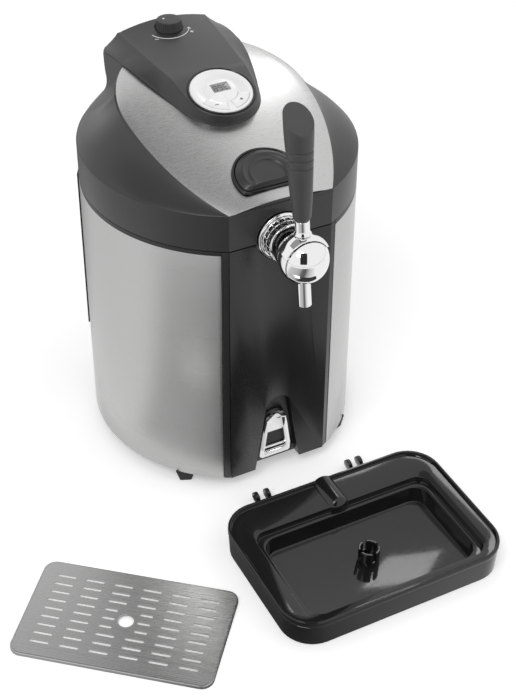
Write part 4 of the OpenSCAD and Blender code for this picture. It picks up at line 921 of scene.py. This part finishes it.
def pod_cover():
    """Cover of the pod: a low upright foot, broad chamfers, a crisp edge and a crowned top."""
    rings = []
    for inset, level in ((0.0, 0.15), (0.0, 0.3), (0.0, 0.93), (0.12, 1.0), (0.4, 1.05),
                         (0.4, 1.25), (0.4, 1.5), (0.4, 1.75), (0.05, 1.97), (0.35, 2.0)):
        foot, top = pod_sides(inset)
        ring = []
        for (xf, yf), (xt, yt) in zip(foot, top):
            low = top_z(xf, yf)
            rise = 1 + 4 * min(1.0, max(0.0, yf / 50))
            lean = 2.5 * max(0.0, yf - TAIL_Y) / TAIL_L
            if level <= 1.0:
                ring.append((max(0.0, xf - lean * level), yf, low + rise * level))
                continue
            t = level - 1.0
            base = low + rise
            hollow = 0.6 * math.sin(math.pi * t) * min(1.0, max(0.0, (yf + 10) / 40))
            x = (xf - lean) * (1 - t) + xt * t - hollow
            ring.append((max(0.0, x), yf * (1 - t) + yt * t, base + (pod_z(yt) - base) * t))
        rings.append(ring)
    top = pod_sides(0.8)[1]
    for share in (1.0, 0.9, 0.8, 0.7, 0.6, 0.5, 0.4, 0.3, 0.2, 0.1, 0.0):
        rings.append([(x * share, y, pod_z(y) + pod_lift(y) * (1 - share * share))
                      for x, y in top])
    bm = bmesh.new()
    rows = [[(bm.verts.new(p), bm.verts.new((-p[0], p[1], p[2]))) for p in ring]
            for ring in rings]
    for low, high in zip(rows, rows[1:]):
        for j in range(len(low) - 1):
            bm.faces.new((low[j][0], low[j + 1][0], high[j + 1][0], high[j][0]))
            bm.faces.new((low[j + 1][1], low[j][1], high[j][1], high[j + 1][1]))
        bm.faces.new((low[-1][0], low[-1][1], high[-1][1], high[-1][0]))
    for j in range(len(rows[0]) - 1):
        row = rows[0]
        bm.faces.new((row[j][0], row[j + 1][0], row[j + 1][1], row[j][1]))
    bmesh.ops.remove_doubles(bm, verts=bm.verts, dist=0.005)
    pod = keep_mesh("pod_cover", bm, POD, 20.0)
    well = lathe("well", [(0, -6), (DISC_R + RING_W, -6), (DISC_R + RING_W, 20), (0, 20)], POD,
                 AT_DISC)
    cut(pod, well)
    pocket = KNOB_R + 0.6
    cut(pod, lathe("pocket", [(0, -0.35), (pocket, -0.35), (pocket, 20), (0, 20)], POD,
                   at((0, KNOB_Y, KNOB_Z))))
    pod.data.set_sharp_from_angle(angle=math.radians(20))
    stand_for(pod, "pod_shell")


def display():
    ring = [(DISC_R - 4, -6), (DISC_R + 2.3, -6), (DISC_R + 2.3, 0.7), (DISC_R + 1.9, 1.3),
            (DISC_R + 1.2, 1.4), (DISC_R + 0.7, 0.9), (DISC_R + 0.2, 0.2), (DISC_R + 0.2, -4),
            (DISC_R - 4, -4), (DISC_R - 4, -6)]
    stand_for(welded(lathe("display_surround", rounded_profile(ring, 0.3), GLOSS, AT_DISC, 128)),
              "display_ring")
    face = [(0, -3.9), (DISC_R, -3.9), (DISC_R, 0.5), (DISC_R - 0.7, 1.05), (DISC_R - 2.4, 1.1),
            (19.4, 1.1), (18.9, 0.8), (18.4, 1.1), (0, 1.1)]
    disc = lathe("display_disc_face", face, SILVER, AT_DISC, 128)
    window = rounded_rect((18.5, 12.0), 0.5, (1.0, 4.4))
    cut(disc, slab("hole", window, -6, 6, SILVER, AT_DISC))
    for side in (-1, 1):
        cut(disc, slab("hole", key_shape(side, 0.35), -6, 6, SILVER, AT_DISC))
    bevelled(disc, 0.2, 40.0, 1, 32.0)
    stand_for(disc, "display_disc")
    glass = slab("display_glass", rounded_rect((18.1, 11.6), 0.4, (1.0, 4.4)), -1.6, 0.5, SCREEN,
                 AT_DISC)
    stand_for(bevelled(glass, 0.2), "display_window")
    digits = []
    for number, lit in ((0, "abcdefg"), (1, "abcdfg"), (2, "adefg")):
        digits += digit(1.0 + (number - 1) * 5.4, 4.4, lit)
    print_on(joined("display_digits", digits, DARK_INK), "display_window")
    for side, node in ((-1, "minus_button"), (1, "plus_button")):
        key = slab(node + "_cap", key_shape(side, 0.0), -3.1, 1.5, SILVER, AT_DISC)
        stand_for(bevelled(key, 0.35), node)
        x, y = side * 22 * math.cos(math.radians(53.5)), -22 * math.sin(math.radians(53.5))
        long = 4.6 if side < 0 else 3.6
        bars = [slab("bar", rounded_rect((long, 0.9), 0.2, (x, y)), 1.4, 1.56, DARK_INK, AT_DISC)]
        if side > 0:
            bars.append(slab("bar", rounded_rect((0.9, long), 0.2, (x, y)), 1.4, 1.56, DARK_INK,
                             AT_DISC))
        print_on(joined(node + "_sign", bars, DARK_INK), node)


def digit(x, y, lit):
    """The lit bars of one seven-segment digit about its middle."""
    w, h, t = 3.2, 6.6, 0.42
    ends = {"a": (-w, h, w, h), "b": (w, h, w, 0), "c": (w, 0, w, -h), "d": (-w, -h, w, -h),
            "e": (-w, 0, -w, -h), "f": (-w, h, -w, 0), "g": (-w, 0, w, 0)}
    bars = []
    for name in lit:
        x0, y0, x1, y1 = (v / 2 for v in ends[name])
        middle = (x + (x0 + x1) / 2, y + (y0 + y1) / 2)
        size = (abs(x1 - x0) or 2 * t, abs(y1 - y0) or 2 * t)
        size = (size[0] - (0.5 if y0 == y1 else 0), size[1] - (0.5 if x0 == x1 else 0))
        bars.append(slab("bar", rounded_rect(size, 0.2, middle, 2), 0.4, 0.56, DARK_INK, AT_DISC))
    return bars


def print_on(piece, node):
    """A small print or trim that rides with a node's body."""
    add_on(piece, body_of(node))


def key_shape(side, grow, steps=14):
    """Outline of a keypad segment: part of a ring on the disc's lower half."""
    start = 205.0 if side < 0 else 278.0
    turn = grow / 27.5 * 57
    angles = [math.radians(start - turn + (57 + 2 * turn) * i / steps) for i in range(steps + 1)]
    outer = [((27.5 + grow) * math.cos(a), (27.5 + grow) * math.sin(a)) for a in angles]
    inner = [((16.5 - grow) * math.cos(a), (16.5 - grow) * math.sin(a)) for a in reversed(angles)]
    return outer + inner


def knob():
    """Drum with fine ribs that stands in its pocket on the pod's crown."""
    place = at((0, KNOB_Y, KNOB_Z))
    top = KNOB_R - KNOB_H * math.tan(math.radians(8))
    rings = []
    for share, high, ribs in ((0.0, 0.0, 0.0), (0.97, 0.0, 0.0), (1.0, 0.5, 0.0), (1.0, 1.0, 1.0),
                              (1.0, KNOB_H - 1.0, 1.0), (0.985, KNOB_H - 0.45, 0.7),
                              (0.95, KNOB_H - 0.1, 0.1), (0.9, KNOB_H, 0.0), (0.5, KNOB_H, 0.0),
                              (0.02, KNOB_H, 0.0)):
        wide = (KNOB_R + (top - KNOB_R) * high / KNOB_H - 0.05) * max(share, 0.02)
        ring = []
        for i in range(288):
            a = 2 * math.pi * i / 288
            r = wide - 0.45 * ribs * (0.5 - 0.5 * math.cos(36 * a))
            ring.append((r * math.cos(a), r * math.sin(a), high))
        rings.append(ring)
    grip = loft("knob_grip", rings, DARK, smooth=50.0, place=place)
    stand_for(grip, "pressure_knob")
    dot = lathe("knob_dot", [(0, KNOB_H - 0.3), (1.2, KNOB_H - 0.3), (1.2, KNOB_H + 0.05),
                             (1.0, KNOB_H + 0.12), (0, KNOB_H + 0.12)],
                WHITE_INK, place @ at((-4.4, 3.2, 0)), 24)
    add_on(dot, "pressure_knob")


def on_pod(x, y):
    """A point of the pod's crowned top."""
    half = POD_TOP_HALF - POD_TAPER * (LID_REAR - y)
    return (x, y, pod_z(y) + pod_lift(y) * (1 - (x / half) ** 2))


def knob_scale():
    """Printed arc with an arrow head round the knob's front, with a minus and a plus."""
    def stroke(points):
        return tube("stroke", [on_pod(x, y) for x, y in points], SCALE_LINE, WHITE_INK, 8)

    def bar(x0, y0, x1, y1, steps=4):
        return stroke([(x0 + (x1 - x0) * i / steps, y0 + (y1 - y0) * i / steps)
                       for i in range(steps + 1)])

    turn = [math.radians(-160 + 140 * i / 40) for i in range(41)]
    arc = [(SCALE_X + SCALE_R * math.cos(a), KNOB_Y + SCALE_R * math.sin(a)) for a in turn]
    lines = [stroke(arc)]
    tip = arc[-1]
    lines.append(bar(*tip, tip[0] - 2.6, tip[1] - 1.6))
    lines.append(bar(*tip, tip[0] + 1.0, tip[1] - 3.2))
    lines.append(bar(-22.4, 95.4, -18.8, 94.2))
    lines.append(bar(16.4, 94.6, 20.4, 95.6))
    lines.append(bar(18.9, 93.1, 17.9, 97.1))
    print_on(joined("knob_scale", lines, WHITE_INK), "pod_shell")


# ---------------------------------------------------------------- tap

def arc_profile(radius, start, end, steps=40):
    """Profile points of a sphere from one height to another."""
    first, last = math.asin(start / radius), math.asin(end / radius)
    return [(radius * math.cos(a), radius * math.sin(a))
            for a in (first + (last - first) * i / steps for i in range(steps + 1))]


def tap_ball():
    dome = [(0, 8.3)] + [(BALL_R * 0.94 - 0.9, 8.3)] + arc_profile(BALL_R, 9.0, BALL_R)[:-1]
    dome += [(0, BALL_R)]
    stand_for(lathe("tap_dome", dome, CHROME, at(TAP, math.pi / 2), 128), "tap_front")

    rear = [(0, -8.0), (BALL_R * 0.94 - 0.9, -8.0)] + arc_profile(BALL_R, -7.3, 20.0, 60)
    rear += [(9.5, 22.2), (9.5, 45.0), (0, 45.0)]
    ball = lathe("tap_ball", rear, CHROME, at(TAP, -math.pi / 2), 128)
    top = slab("top", rounded_rect((60, 60), 2), CAP_Z, 40, CHROME, at(TAP))
    cut(ball, top)
    slot = slab("slot", rounded_rect((9.7, 26.0), 1, (0, 2.0)), -1.0, 30, CHROME, at(TAP))
    cut(ball, slot)
    ball.data.set_sharp_from_angle(angle=math.radians(32))
    stand_for(bevelled(ball, 0.3, 50.0, 2, 32.0), "tap_body")

    hood_in = BALL_R + 0.35
    hood = hood_shell(hood_in)
    stand_for(hood, "tap_hood")

    bore = rounded_profile([(4.0, -0.2), (4.0, -26), (6.5, -26), (6.5, -0.2)], 0.9)
    bore.append(bore[0])
    spout = welded(lathe("tap_nozzle", bore, CHROME,
                         at(TAP) @ Matrix.Translation((0, 2.0, 0)) @ Matrix.Rotation(
                             math.radians(-8), 4, "X") @ Matrix.Translation((0, 0, -BALL_R))))
    stand_for(spout, "tap_spout")


def hood_shell(inner):
    """Cap over the ball: a thin dome cut square in front and level at its foot."""
    profile = [(0, inner)] + arc_profile(inner, inner * 0.999, CAP_Z)
    profile += arc_profile(HOOD_R, CAP_Z, HOOD_R * 0.9995) + [(0, HOOD_R)]
    hood = lathe("tap_hood_cap", profile, CHROME, at(TAP), 128)
    front = slab("front", rounded_rect((80, 60), 2, (0, -38)), -40, 40, CHROME, at(TAP))
    cut(hood, front)
    arm = slab("arm", rounded_rect((9, 4), 0.8), 0, inner + 0.6, CHROME,
               at(TAP, math.radians(-30)))
    hub = lathe("hub", [(2.05, -4.5), (5.5, -4.5), (5.5, 4.5), (2.05, 4.5), (2.05, -4.5)], CHROME,
                at(TAP) @ Matrix.Rotation(math.pi / 2, 4, "Y"), 48)
    bevelled(hood, 0.35, 50.0, 2, 32.0)
    return joined("tap_hood_and_arm", [hood, arm, welded(hub)], CHROME)


def tap_lever():
    stem = rounded_profile([(0, 24.45), (4.9, 24.45), (4.9, 25.95), (8.6, 25.95), (8.2, 27.0),
                            (7.1, 28.8), (6.9, 30.0), (6.9, 39.6), (6.6, 40), (4, 40), (4, 54),
                            (0, 54)], 0.4)
    stand_for(lathe("lever_stem", stem, CHROME, AT_LEVER, 96), "tap_stem")
    outline = [(0, 40.3), (6.9, 40.3), (8.4, 43), (9.4, 52), (10.2, 61), (11.3, 81)]
    for i in range(3):
        mid, r = 94 + 8 * i, 12.0 + 0.4 * i
        outline += [(r - 0.05, mid - 0.9), (r - 0.7, mid - 0.6), (r - 0.9, mid),
                    (r - 0.7, mid + 0.6), (r + 0.05, mid + 0.9)]
    outline += [(13.1, 115), (13.6, 125), (13.9, 139), (14, 153), (0, 153)]
    handle = lathe("lever_handle", rounded_profile(outline, 0.5), GRIP, AT_LEVER, 96)
    bm = bmesh.new()
    bm.from_mesh(handle.data)
    normal = (AT_LEVER.to_3x3() @ Matrix.Rotation(math.radians(39), 3, "X")) @ Vector((0, 0, 1))
    where = (AT_LEVER @ Vector((0, 0, 139))) * MM
    sliced = bmesh.ops.bisect_plane(bm, geom=bm.verts[:] + bm.edges[:] + bm.faces[:], dist=1e-7,
                                    plane_co=where, plane_no=normal, clear_outer=True)
    rim = [e for e in sliced["geom_cut"] if isinstance(e, bmesh.types.BMEdge)]
    bmesh.ops.contextual_create(bm, geom=rim)
    bmesh.ops.recalc_face_normals(bm, faces=bm.faces)
    bm.to_mesh(handle.data)
    bm.free()
    stand_for(bevelled(handle, 1.0, 25.0, 4, 32.0), "tap_handle")


def tap_collar():
    """Collar behind the ball: a flange and a barrel of chrome ribs over dark panes."""
    front = 44.0 - HOOD_R - 0.8
    place = at((0, -HALF_D - front, TAP.z), -math.pi / 2)
    barrel = front - 4.0 + 1.0
    flange = [(9.8, barrel + 4.0), (9.8, barrel), (23.0, barrel - 0.4), (24.4, barrel + 0.2),
              (25.0, barrel + 1.0), (25.0, barrel + 3.4), (24.4, barrel + 4.0)]
    flange = rounded_profile(flange, 0.5) + [flange[0]]
    core = [(9.8, 0.0), (18.6, 0.0), (19.6, 0.8), (19.6, barrel), (9.8, barrel), (9.8, 0.0)]
    parts = [welded(lathe("flange", flange, CHROME, place, 128))]
    for z, r, t in ((0.0, 20.9, 2.0), (barrel * 0.52, 21.0, 1.2), (barrel - 1.4, 21.2, 1.4)):
        hoop = [(r - 2.0, z), (r, z), (r + 0.3, z + t / 2), (r, z + t), (r - 2.0, z + t),
                (r - 2.0, z)]
        parts.append(welded(lathe("ring", rounded_profile(hoop, 0.3), CHROME, place, 96)))
    rib = slab("rib", rounded_rect((3.0, 1.5), 0.5), 0.6, barrel - 0.2, CHROME)
    parts.append(round_repeat("collar_ribs", rib, 20, 19.9, CHROME, place))
    shell = joined("collar_shell", parts, CHROME)
    stand_for(shell, "tap_collar")
    panes = welded(lathe("collar_panes", core, GLOSS, place, 96))
    add_on(panes, "housing")


# ---------------------------------------------------------------- drip tray and grate

def tray():
    steps = [(205, 135, 20, 0, 1.0), (210, 140, 20, 0, 0.9), (210.4, 140.4, 20, 0, 0.0),
             (235.6, 165.6, 32, 0, 0.0), (237.0, 167.0, 33, 0, 0.8), (239.2, 169.2, 33.7, 0, 23.6),
             (239.2, 169.2, 33.7, 0, 24.0), (238.6, 168.6, 33.4, 0, 24.2),
             (238.6, 168.6, 33.4, 0, 24.7), (239.4, 169.4, 33.8, 0, 24.9),
             (240.0, 170.0, 34.0, 0, 25.6), (240.0, 170.0, 34.0, 0, 29.6),
             (239.4, 169.4, 33.7, 0, 30.5), (238.2, 168.2, 33.1, 0, 31.0),
             (235.4, 165.4, 31.7, 0, 31.0), (234.2, 164.2, 31.1, 0, 30.6),
             (233.2, 163.2, 30.6, 0, 29.4), (232.6, 162.6, 30.3, 0, 27.6),
             (231.6, 161.6, 29.8, 0, 27.1), (230.0, 160.0, 29.0, 0, 27.0),
             (200.2, 122.2, 14.5, BASIN_Y, 27.0), (198.6, 120.6, 13.5, BASIN_Y, 26.6),
             (197.6, 119.6, 13.0, BASIN_Y, 25.6), (197.6, 119.6, 13.0, BASIN_Y, 20.6),
             (196.8, 118.8, 12.6, BASIN_Y, 20.0), (188.0, 110.0, 17.0, BASIN_Y, 20.0),
             (186.6, 108.6, 16.4, BASIN_Y, 19.6), (186.0, 108.0, 16.0, BASIN_Y, 18.6),
             (183.0, 105.0, 15.0, BASIN_Y, 5.0), (181.4, 103.4, 14.6, BASIN_Y, 3.2),
             (178.0, 100.0, 13.0, BASIN_Y, 2.5)]
    place = at(TRAY)
    rings = [[(x, y, z) for x, y in rounded_rect((w, d), r, (0, cy), 10)]
             for w, d, r, cy, z in steps]
    parts = [loft("pan", rings, TRAY_GLOSS, smooth=36.0, place=place)]
    ridge = [(0, -3.0)] + [(12.5 * math.sin(a), -3.0 + 9.0 * (1 - math.cos(a)))
                           for a in (math.pi / 2 * i / 14 for i in range(1, 15))]
    ridge += [(12.5, 39.2), (11.9, 40.0), (0, 40.0)]
    parts.append(lathe("ridge", ridge, TRAY_GLOSS,
                       place @ at((0, 45.0, 21.0), -math.pi / 2), 64, 40.0))
    boss = rounded_profile([(8.5, 2.4), (8.5, 20.0), (11.0, 20.0), (11.0, 2.4)], 0.6)
    boss = lathe("boss", boss + [boss[0]], TRAY_GLOSS, place @ at((0, BASIN_Y, 0)), 64)
    for size in ((40, 4), (4, 40)):
        cut(boss, slab("slit", rounded_rect(size, 0.5), 8.5, 40, TRAY_GLOSS,
                       place @ at((0, BASIN_Y, 0))))
    parts.append(bevelled(welded(boss), 0.3, 50.0))
    for side in (-1, 1):
        for twin in (-1, 1):
            parts.append(tongue(place @ at((side * 55 + twin * 6.3, 85, 0))))
    stand_for(joined("tray_pan", parts, TRAY_GLOSS), "drip_tray")


def tongue(place):
    """A flat hook behind the tray, drawn from its side."""
    side = [(-3, 2), (33 - 6, 2)]
    side += [(27 + 6.2 * math.cos(a), 6 + 6.2 * math.sin(a) * (1 if math.sin(a) > 0 else 0.65))
             for a in (math.radians(-80 + 250 * i / 20) for i in range(21))]
    side += [(20.8, 8), (-3, 8)]
    turned = place @ Matrix.Rotation(math.pi / 2, 4, "Z") @ Matrix.Rotation(math.pi / 2, 4, "X")
    return bevelled(slab("tongue", side, -2, 2, TRAY_GLOSS, turned), 0.5, 50.0)


def slot_places():
    """Middle and length of every slot of the grate."""
    places = []
    for row in range(-4, 5):
        for col in range(6):
            x, length = (col - 2.5) * 28.8, 19.0
            if abs(row) < 2 and col in (2, 3):
                side = 1 if col == 3 else -1
                x, length = side * 17.4, 13.0
            places.append((x, row * 10.4, length))
    return places


def grate():
    """Pressed plate with a rolled edge, a rim round each slot and a hole in its middle."""
    place = at(GRATE, 0, GRATE_TURN)
    steps = [(195.0, 117.0, 11.5, 0.0), (196.0, 118.0, 12.0, 0.4), (196.0, 118.0, 12.0, 2.6),
             (195.6, 117.6, 11.8, 3.4), (194.6, 116.6, 11.3, 3.9), (193.4, 115.4, 10.7, 4.0),
             (193.0, 115.0, 10.5, 4.0), (193.0, 115.0, 10.5, 2.8), (193.6, 115.6, 10.8, 2.5),
             (193.6, 115.6, 10.8, 0.0)]
    rings = [[(x, y, z) for x, y in rounded_rect((w, d), r, (0, 0), 12)] for w, d, r, z in steps]
    edge = loft("edge", rings + [rings[0]], STEEL_GRATE, caps=False, smooth=36.0)
    welded(edge)
    plate = slab("plate", rounded_rect((193.4, 115.4), 10.7, (0, 0), 12), 2.8, 4.0, STEEL_GRATE)
    cutters = bmesh.new()
    for x, y, length in slot_places():
        outline = rounded_rect((length, 3.0), 1.45, (x, y), 5)
        low = [cutters.verts.new((px, py, 1.0)) for px, py in outline]
        high = [cutters.verts.new((px, py, 6.0)) for px, py in outline]
        cutters.faces.new(list(reversed(low)))
        cutters.faces.new(high)
        for i in range(len(low)):
            j = (i + 1) % len(low)
            cutters.faces.new((low[i], low[j], high[j], high[i]))
    slots = keep_mesh("slots", cutters, STEEL_GRATE, recalc=False)
    cut(plate, slots)
    cut(plate, lathe("hole", [(0, 1), (7.5, 1), (7.5, 6), (0, 6)], STEEL_GRATE, None, 64))
    body = joined("grate_plate", [plate, edge], STEEL_GRATE)
    stand_for(moved(body, place), "drip_grate")

    rims = []
    layout = [(6, 3, 0, -3), (6, 3, 0, 3), (2, 3, -2, 0), (2, 3, 2, 0)]
    for number, (columns, rows, col, row) in enumerate(layout):
        rims.append(grid_repeat("rims_%d" % number, slot_rim(19.0), columns, rows, 28.8, 10.4,
                                STEEL_GRATE, place @ at((col * 28.8, row * 10.4, 0))))
    for side in (-1, 1):
        rims.append(grid_repeat("rims_short_%d" % side, slot_rim(13.0), 1, 3, 28.8, 10.4,
                                STEEL_GRATE, place @ at((side * 17.4, 0, 0))))
    circle = [(7.9 * math.cos(a), 7.9 * math.sin(a), 3.9)
              for a in (2 * math.pi * i / 48 for i in range(48))]
    hole = moved(tube("hole_rim", circle, 0.45, STEEL_GRATE, 8, closed=True), place)
    add_on(joined("slot_rims", rims + [hole], STEEL_GRATE), "drip_grate")


def slot_rim(length):
    """A thin pressed edge round one slot."""
    reach = (length - 3.0) / 2
    path = []
    for side in (1, -1):
        for i in range(7):
            a = math.pi / 2 * side * -1 + math.pi * i / 6
            path.append((side * reach + 1.7 * math.cos(a), 1.7 * math.sin(a), 3.85))
    return tube("rim", path, 0.34, STEEL_GRATE, 6, closed=True)


# ---------------------------------------------------------------- the rest of the nodes

def paint(finish, *nodes):
    for node in nodes:
        for slot in frame["nodes"][node].material_slots:
            slot.material = finish


def plain_nodes():
    dressed("front_panel", "front_face", FRONT, 0.5)
    dressed("base_plate", "base_moulding", DARK, 0.3)
    dressed("feet", "foot_blocks", RUBBER, 0.8)
    dressed("rear_cover", "rear_wall", DARK, 0.3)
    dressed("rear_grille", "rear_louvres", DARK, 0.6)
    dressed("lid_hinges", "lid_hinge_leaves", DARK, 0.5)
    dressed("tray_catch", "catch_arch", CHROME, 0.7)
    dressed("fan_frame", "fan_housing", DARK, 0.4)
    dressed("power_inlet", "inlet_socket", DARK, 0.4)
    paint(DARK, "fan_rotor", "body_rim")
    paint(STEEL, "rear_screws", "tap_bracket", "tap_shank", "shank_nut", "tap_pin", "hinge_pins",
          "catch_pin", "button_spring", "lid_latch")
    paint(ALUMINIUM, "keg_well", "cold_block", "heat_sink", "cartridge_sleeve")
    paint(FOAM, "front_foam", "rear_foam")
    paint(CERAMIC, "peltier_module")
    paint(BOARD, "power_board", "control_board")
    paint(BRASS, "tap_piston", "regulator")
    paint(PALE, "lid_liner")
    paint(RUBBER, "lid_seal")
    paint(SATIN, "keg_coupler")
    paint(HOSE, "beer_line", "gas_line")


# ---------------------------------------------------------------- set

# bearing round the body in degrees, and the tone that the steel and chrome show there
FLOOR_TONES = ((-172, 1.0), (-158, 0.62), (-136, 0.54), (-124, 0.42), (-116, 0.16),
               (-106, 0.10), (-94, 0.55), (-72, 1.0), (43, 1.0), (65, 0.25), (101, 0.25), (130, 0.9))


def floor_finish():
    """White paper: the camera and mirrors see it lit up to white, and shadows stay."""
    f = Finish("studio_floor")
    diffuse = f.node("ShaderNodeBsdfDiffuse", {}, {
        "Color": f.shade(f.noise(3.0, 2.0), (0.80, 0.80, 0.80), (0.82, 0.82, 0.82))})
    glow = f.node("ShaderNodeEmission", {}, {"Color": (1, 1, 1, 1), "Strength": seen_rays(f) * 0.40})
    f.ends_in(f.node("ShaderNodeAddShader", {}, {0: diffuse.outputs[0], 1: glow.outputs[0]}))
    return f.material


def seen_rays(f):
    """1 on camera, glossy and transmission rays."""
    rays = f.node("ShaderNodeLightPath")
    first = f.num("ShaderNodeMath", {"operation": "MAXIMUM"}, {
        0: rays.outputs["Is Camera Ray"], 1: rays.outputs["Is Glossy Ray"]})
    return f.num("ShaderNodeMath", {"operation": "MAXIMUM"}, {
        0: first, 1: rays.outputs["Is Transmission Ray"]})


def stage_mesh(name, corners, material, faces=None):
    """A floor or card in metres: one face through its corners, or the faces given."""
    mesh = bpy.data.meshes.new(name)
    mesh.from_pydata(corners, [], faces or [tuple(range(len(corners)))])
    mesh.materials.append(material)
    made = bpy.data.objects.new(name, mesh)
    bpy.context.scene.collection.objects.link(made)
    return made


def card(name, corners, level):
    """A studio card that only reflections show."""
    f = Finish(name)
    f.ends_in(f.node("ShaderNodeEmission", {}, {
        "Color": f.shade(f.noise(1.0, 1.0), grey(0.96), (1, 1, 1)), "Strength": level}))
    reflect_only(stage_mesh(name, corners, f.material))


def floor_tones(near=0.165, far=1.7, count=72):
    """Tones of the floor round the body, by bearing, that only reflections show."""
    f = Finish("floor_tones")
    bearing = f.node("ShaderNodeTexGradient", {"gradient_type": "RADIAL"}, {"Vector": f.place})
    ramp = f.node("ShaderNodeValToRGB", {}, {0: bearing.outputs[1]})
    stops = ramp.color_ramp.elements
    stops[0].position, stops[1].position = 0.0, 1.0
    for degrees, level in FLOOR_TONES:
        stops.new((degrees + 180) / 360).color = (level, level, level, 1)
    stops[0].color = stops[-1].color = (1, 1, 1, 1)
    f.ends_in(f.node("ShaderNodeEmission", {}, {"Color": ramp.outputs[0], "Strength": 1.0}))
    turn = [2 * math.pi * i / count for i in range(count)]
    points = [(r * math.cos(a), r * math.sin(a), 0.0004) for r in (near, far) for a in turn]
    faces = [(i, (i + 1) % count, count + (i + 1) % count, count + i) for i in range(count)]
    reflect_only(stage_mesh("floor_tones", points, f.material, faces))


def reflect_only(made):
    """Hides a stage object from all but the reflections."""
    made.visible_camera = False
    made.visible_diffuse = False
    made.visible_shadow = False
    made.visible_transmission = False
    made.visible_volume_scatter = False


def standing_card(name, middle, width, height, level):
    """A card that faces the object."""
    spot = Vector(middle)
    facing = (Vector((0, -0.1, 0.2)) - spot).to_track_quat("-Z", "Y").to_matrix()
    corners = [spot + facing @ Vector((x * width / 2, y * height / 2, 0))
               for x, y in ((-1, -1), (1, -1), (1, 1), (-1, 1))]
    card(name, [tuple(c) for c in corners], level)


def pale_world():
    """White to the camera, to mirrors and through glass; a softer light on matt faces."""
    world = bpy.data.worlds.new("studio")
    world.use_nodes = True
    tree = world.node_tree
    rays = tree.nodes.new("ShaderNodeLightPath")
    white = rays.outputs["Is Camera Ray"]
    for kind in ("Is Glossy Ray", "Is Transmission Ray"):
        either = tree.nodes.new("ShaderNodeMath")
        either.operation = "MAXIMUM"
        tree.links.new(white, either.inputs[0])
        tree.links.new(rays.outputs[kind], either.inputs[1])
        white = either.outputs[0]
    level = tree.nodes.new("ShaderNodeMapRange")
    level.inputs["To Min"].default_value = 0.45
    level.inputs["To Max"].default_value = 1.0
    tree.links.new(white, level.inputs["Value"])
    sky = tree.nodes["Background"]
    sky.inputs["Color"].default_value = (1, 1, 1, 1)
    tree.links.new(level.outputs[0], sky.inputs["Strength"])
    bpy.context.scene.world = world


def studio():
    reach = 6.0
    stage_mesh("studio_floor", [(-reach, -reach, 0), (reach, -reach, 0), (reach, reach, 0),
                                (-reach, reach, 0)], floor_finish())
    floor_tones()
    standing_card("dark_behind_camera", (-0.95, -1.95, 1.55), 1.3, 2.2, 0.03)
    card("dark_overhead", [(-1.6, 0.0, 2.2), (0.62, 0.0, 2.2), (0.62, 1.6, 2.2), (-1.6, 1.6, 2.2)],
         0.34)
    standing_card("softbox_behind", (0.79, 0.92, 1.43), 0.30, 0.30, 5.5)

    pale_world()

    for name, power, size, spot, aim in (
            ("key", 26.0, 1.2, (-1.4, -1.2, 2.4), (0, 0, 0.15)),
            ("fill", 10.0, 2.2, (1.8, -1.0, 1.8), (0, 0, 0.15)),
            ("top", 12.0, 2.0, (0.2, 0.6, 2.6), (0, 0, 0.0))):
        lamp = bpy.data.lights.new(name, "AREA")
        lamp.energy = power
        lamp.size = size
        made = bpy.data.objects.new(name, lamp)
        made.location = spot
        made.rotation_euler = (Vector(aim) - Vector(spot)).to_track_quat("-Z", "Y").to_euler()
        made.visible_glossy = name == "key"
        bpy.context.scene.collection.objects.link(made)


def camera():
    data = bpy.data.cameras.new("camera")
    data.lens = 74.70
    data.sensor_width = 36
    data.shift_x = 0.0130
    data.shift_y = -0.0905
    data.clip_end = 30
    made = bpy.data.objects.new("camera", data)
    made.location = (-0.5393, -1.1401, 1.0665)
    aim = Vector((0, -0.0715, 0.200)) - made.location
    turn = aim.to_track_quat("-Z", "Y").to_matrix().to_4x4()
    made.rotation_euler = (turn @ Matrix.Rotation(math.radians(0.08), 4, "Z")).to_euler()
    bpy.context.scene.collection.objects.link(made)
    bpy.context.scene.camera = made


camera()
studio()
steel_sides()
front_posts()
lid_cover()
steel_top()
release_button()
pod_cover()
display()
knob()
knob_scale()
tap_ball()
tap_lever()
tap_collar()
tray()
grate()
plain_nodes()

bpy.context.scene.view_settings.view_transform = "Standard"
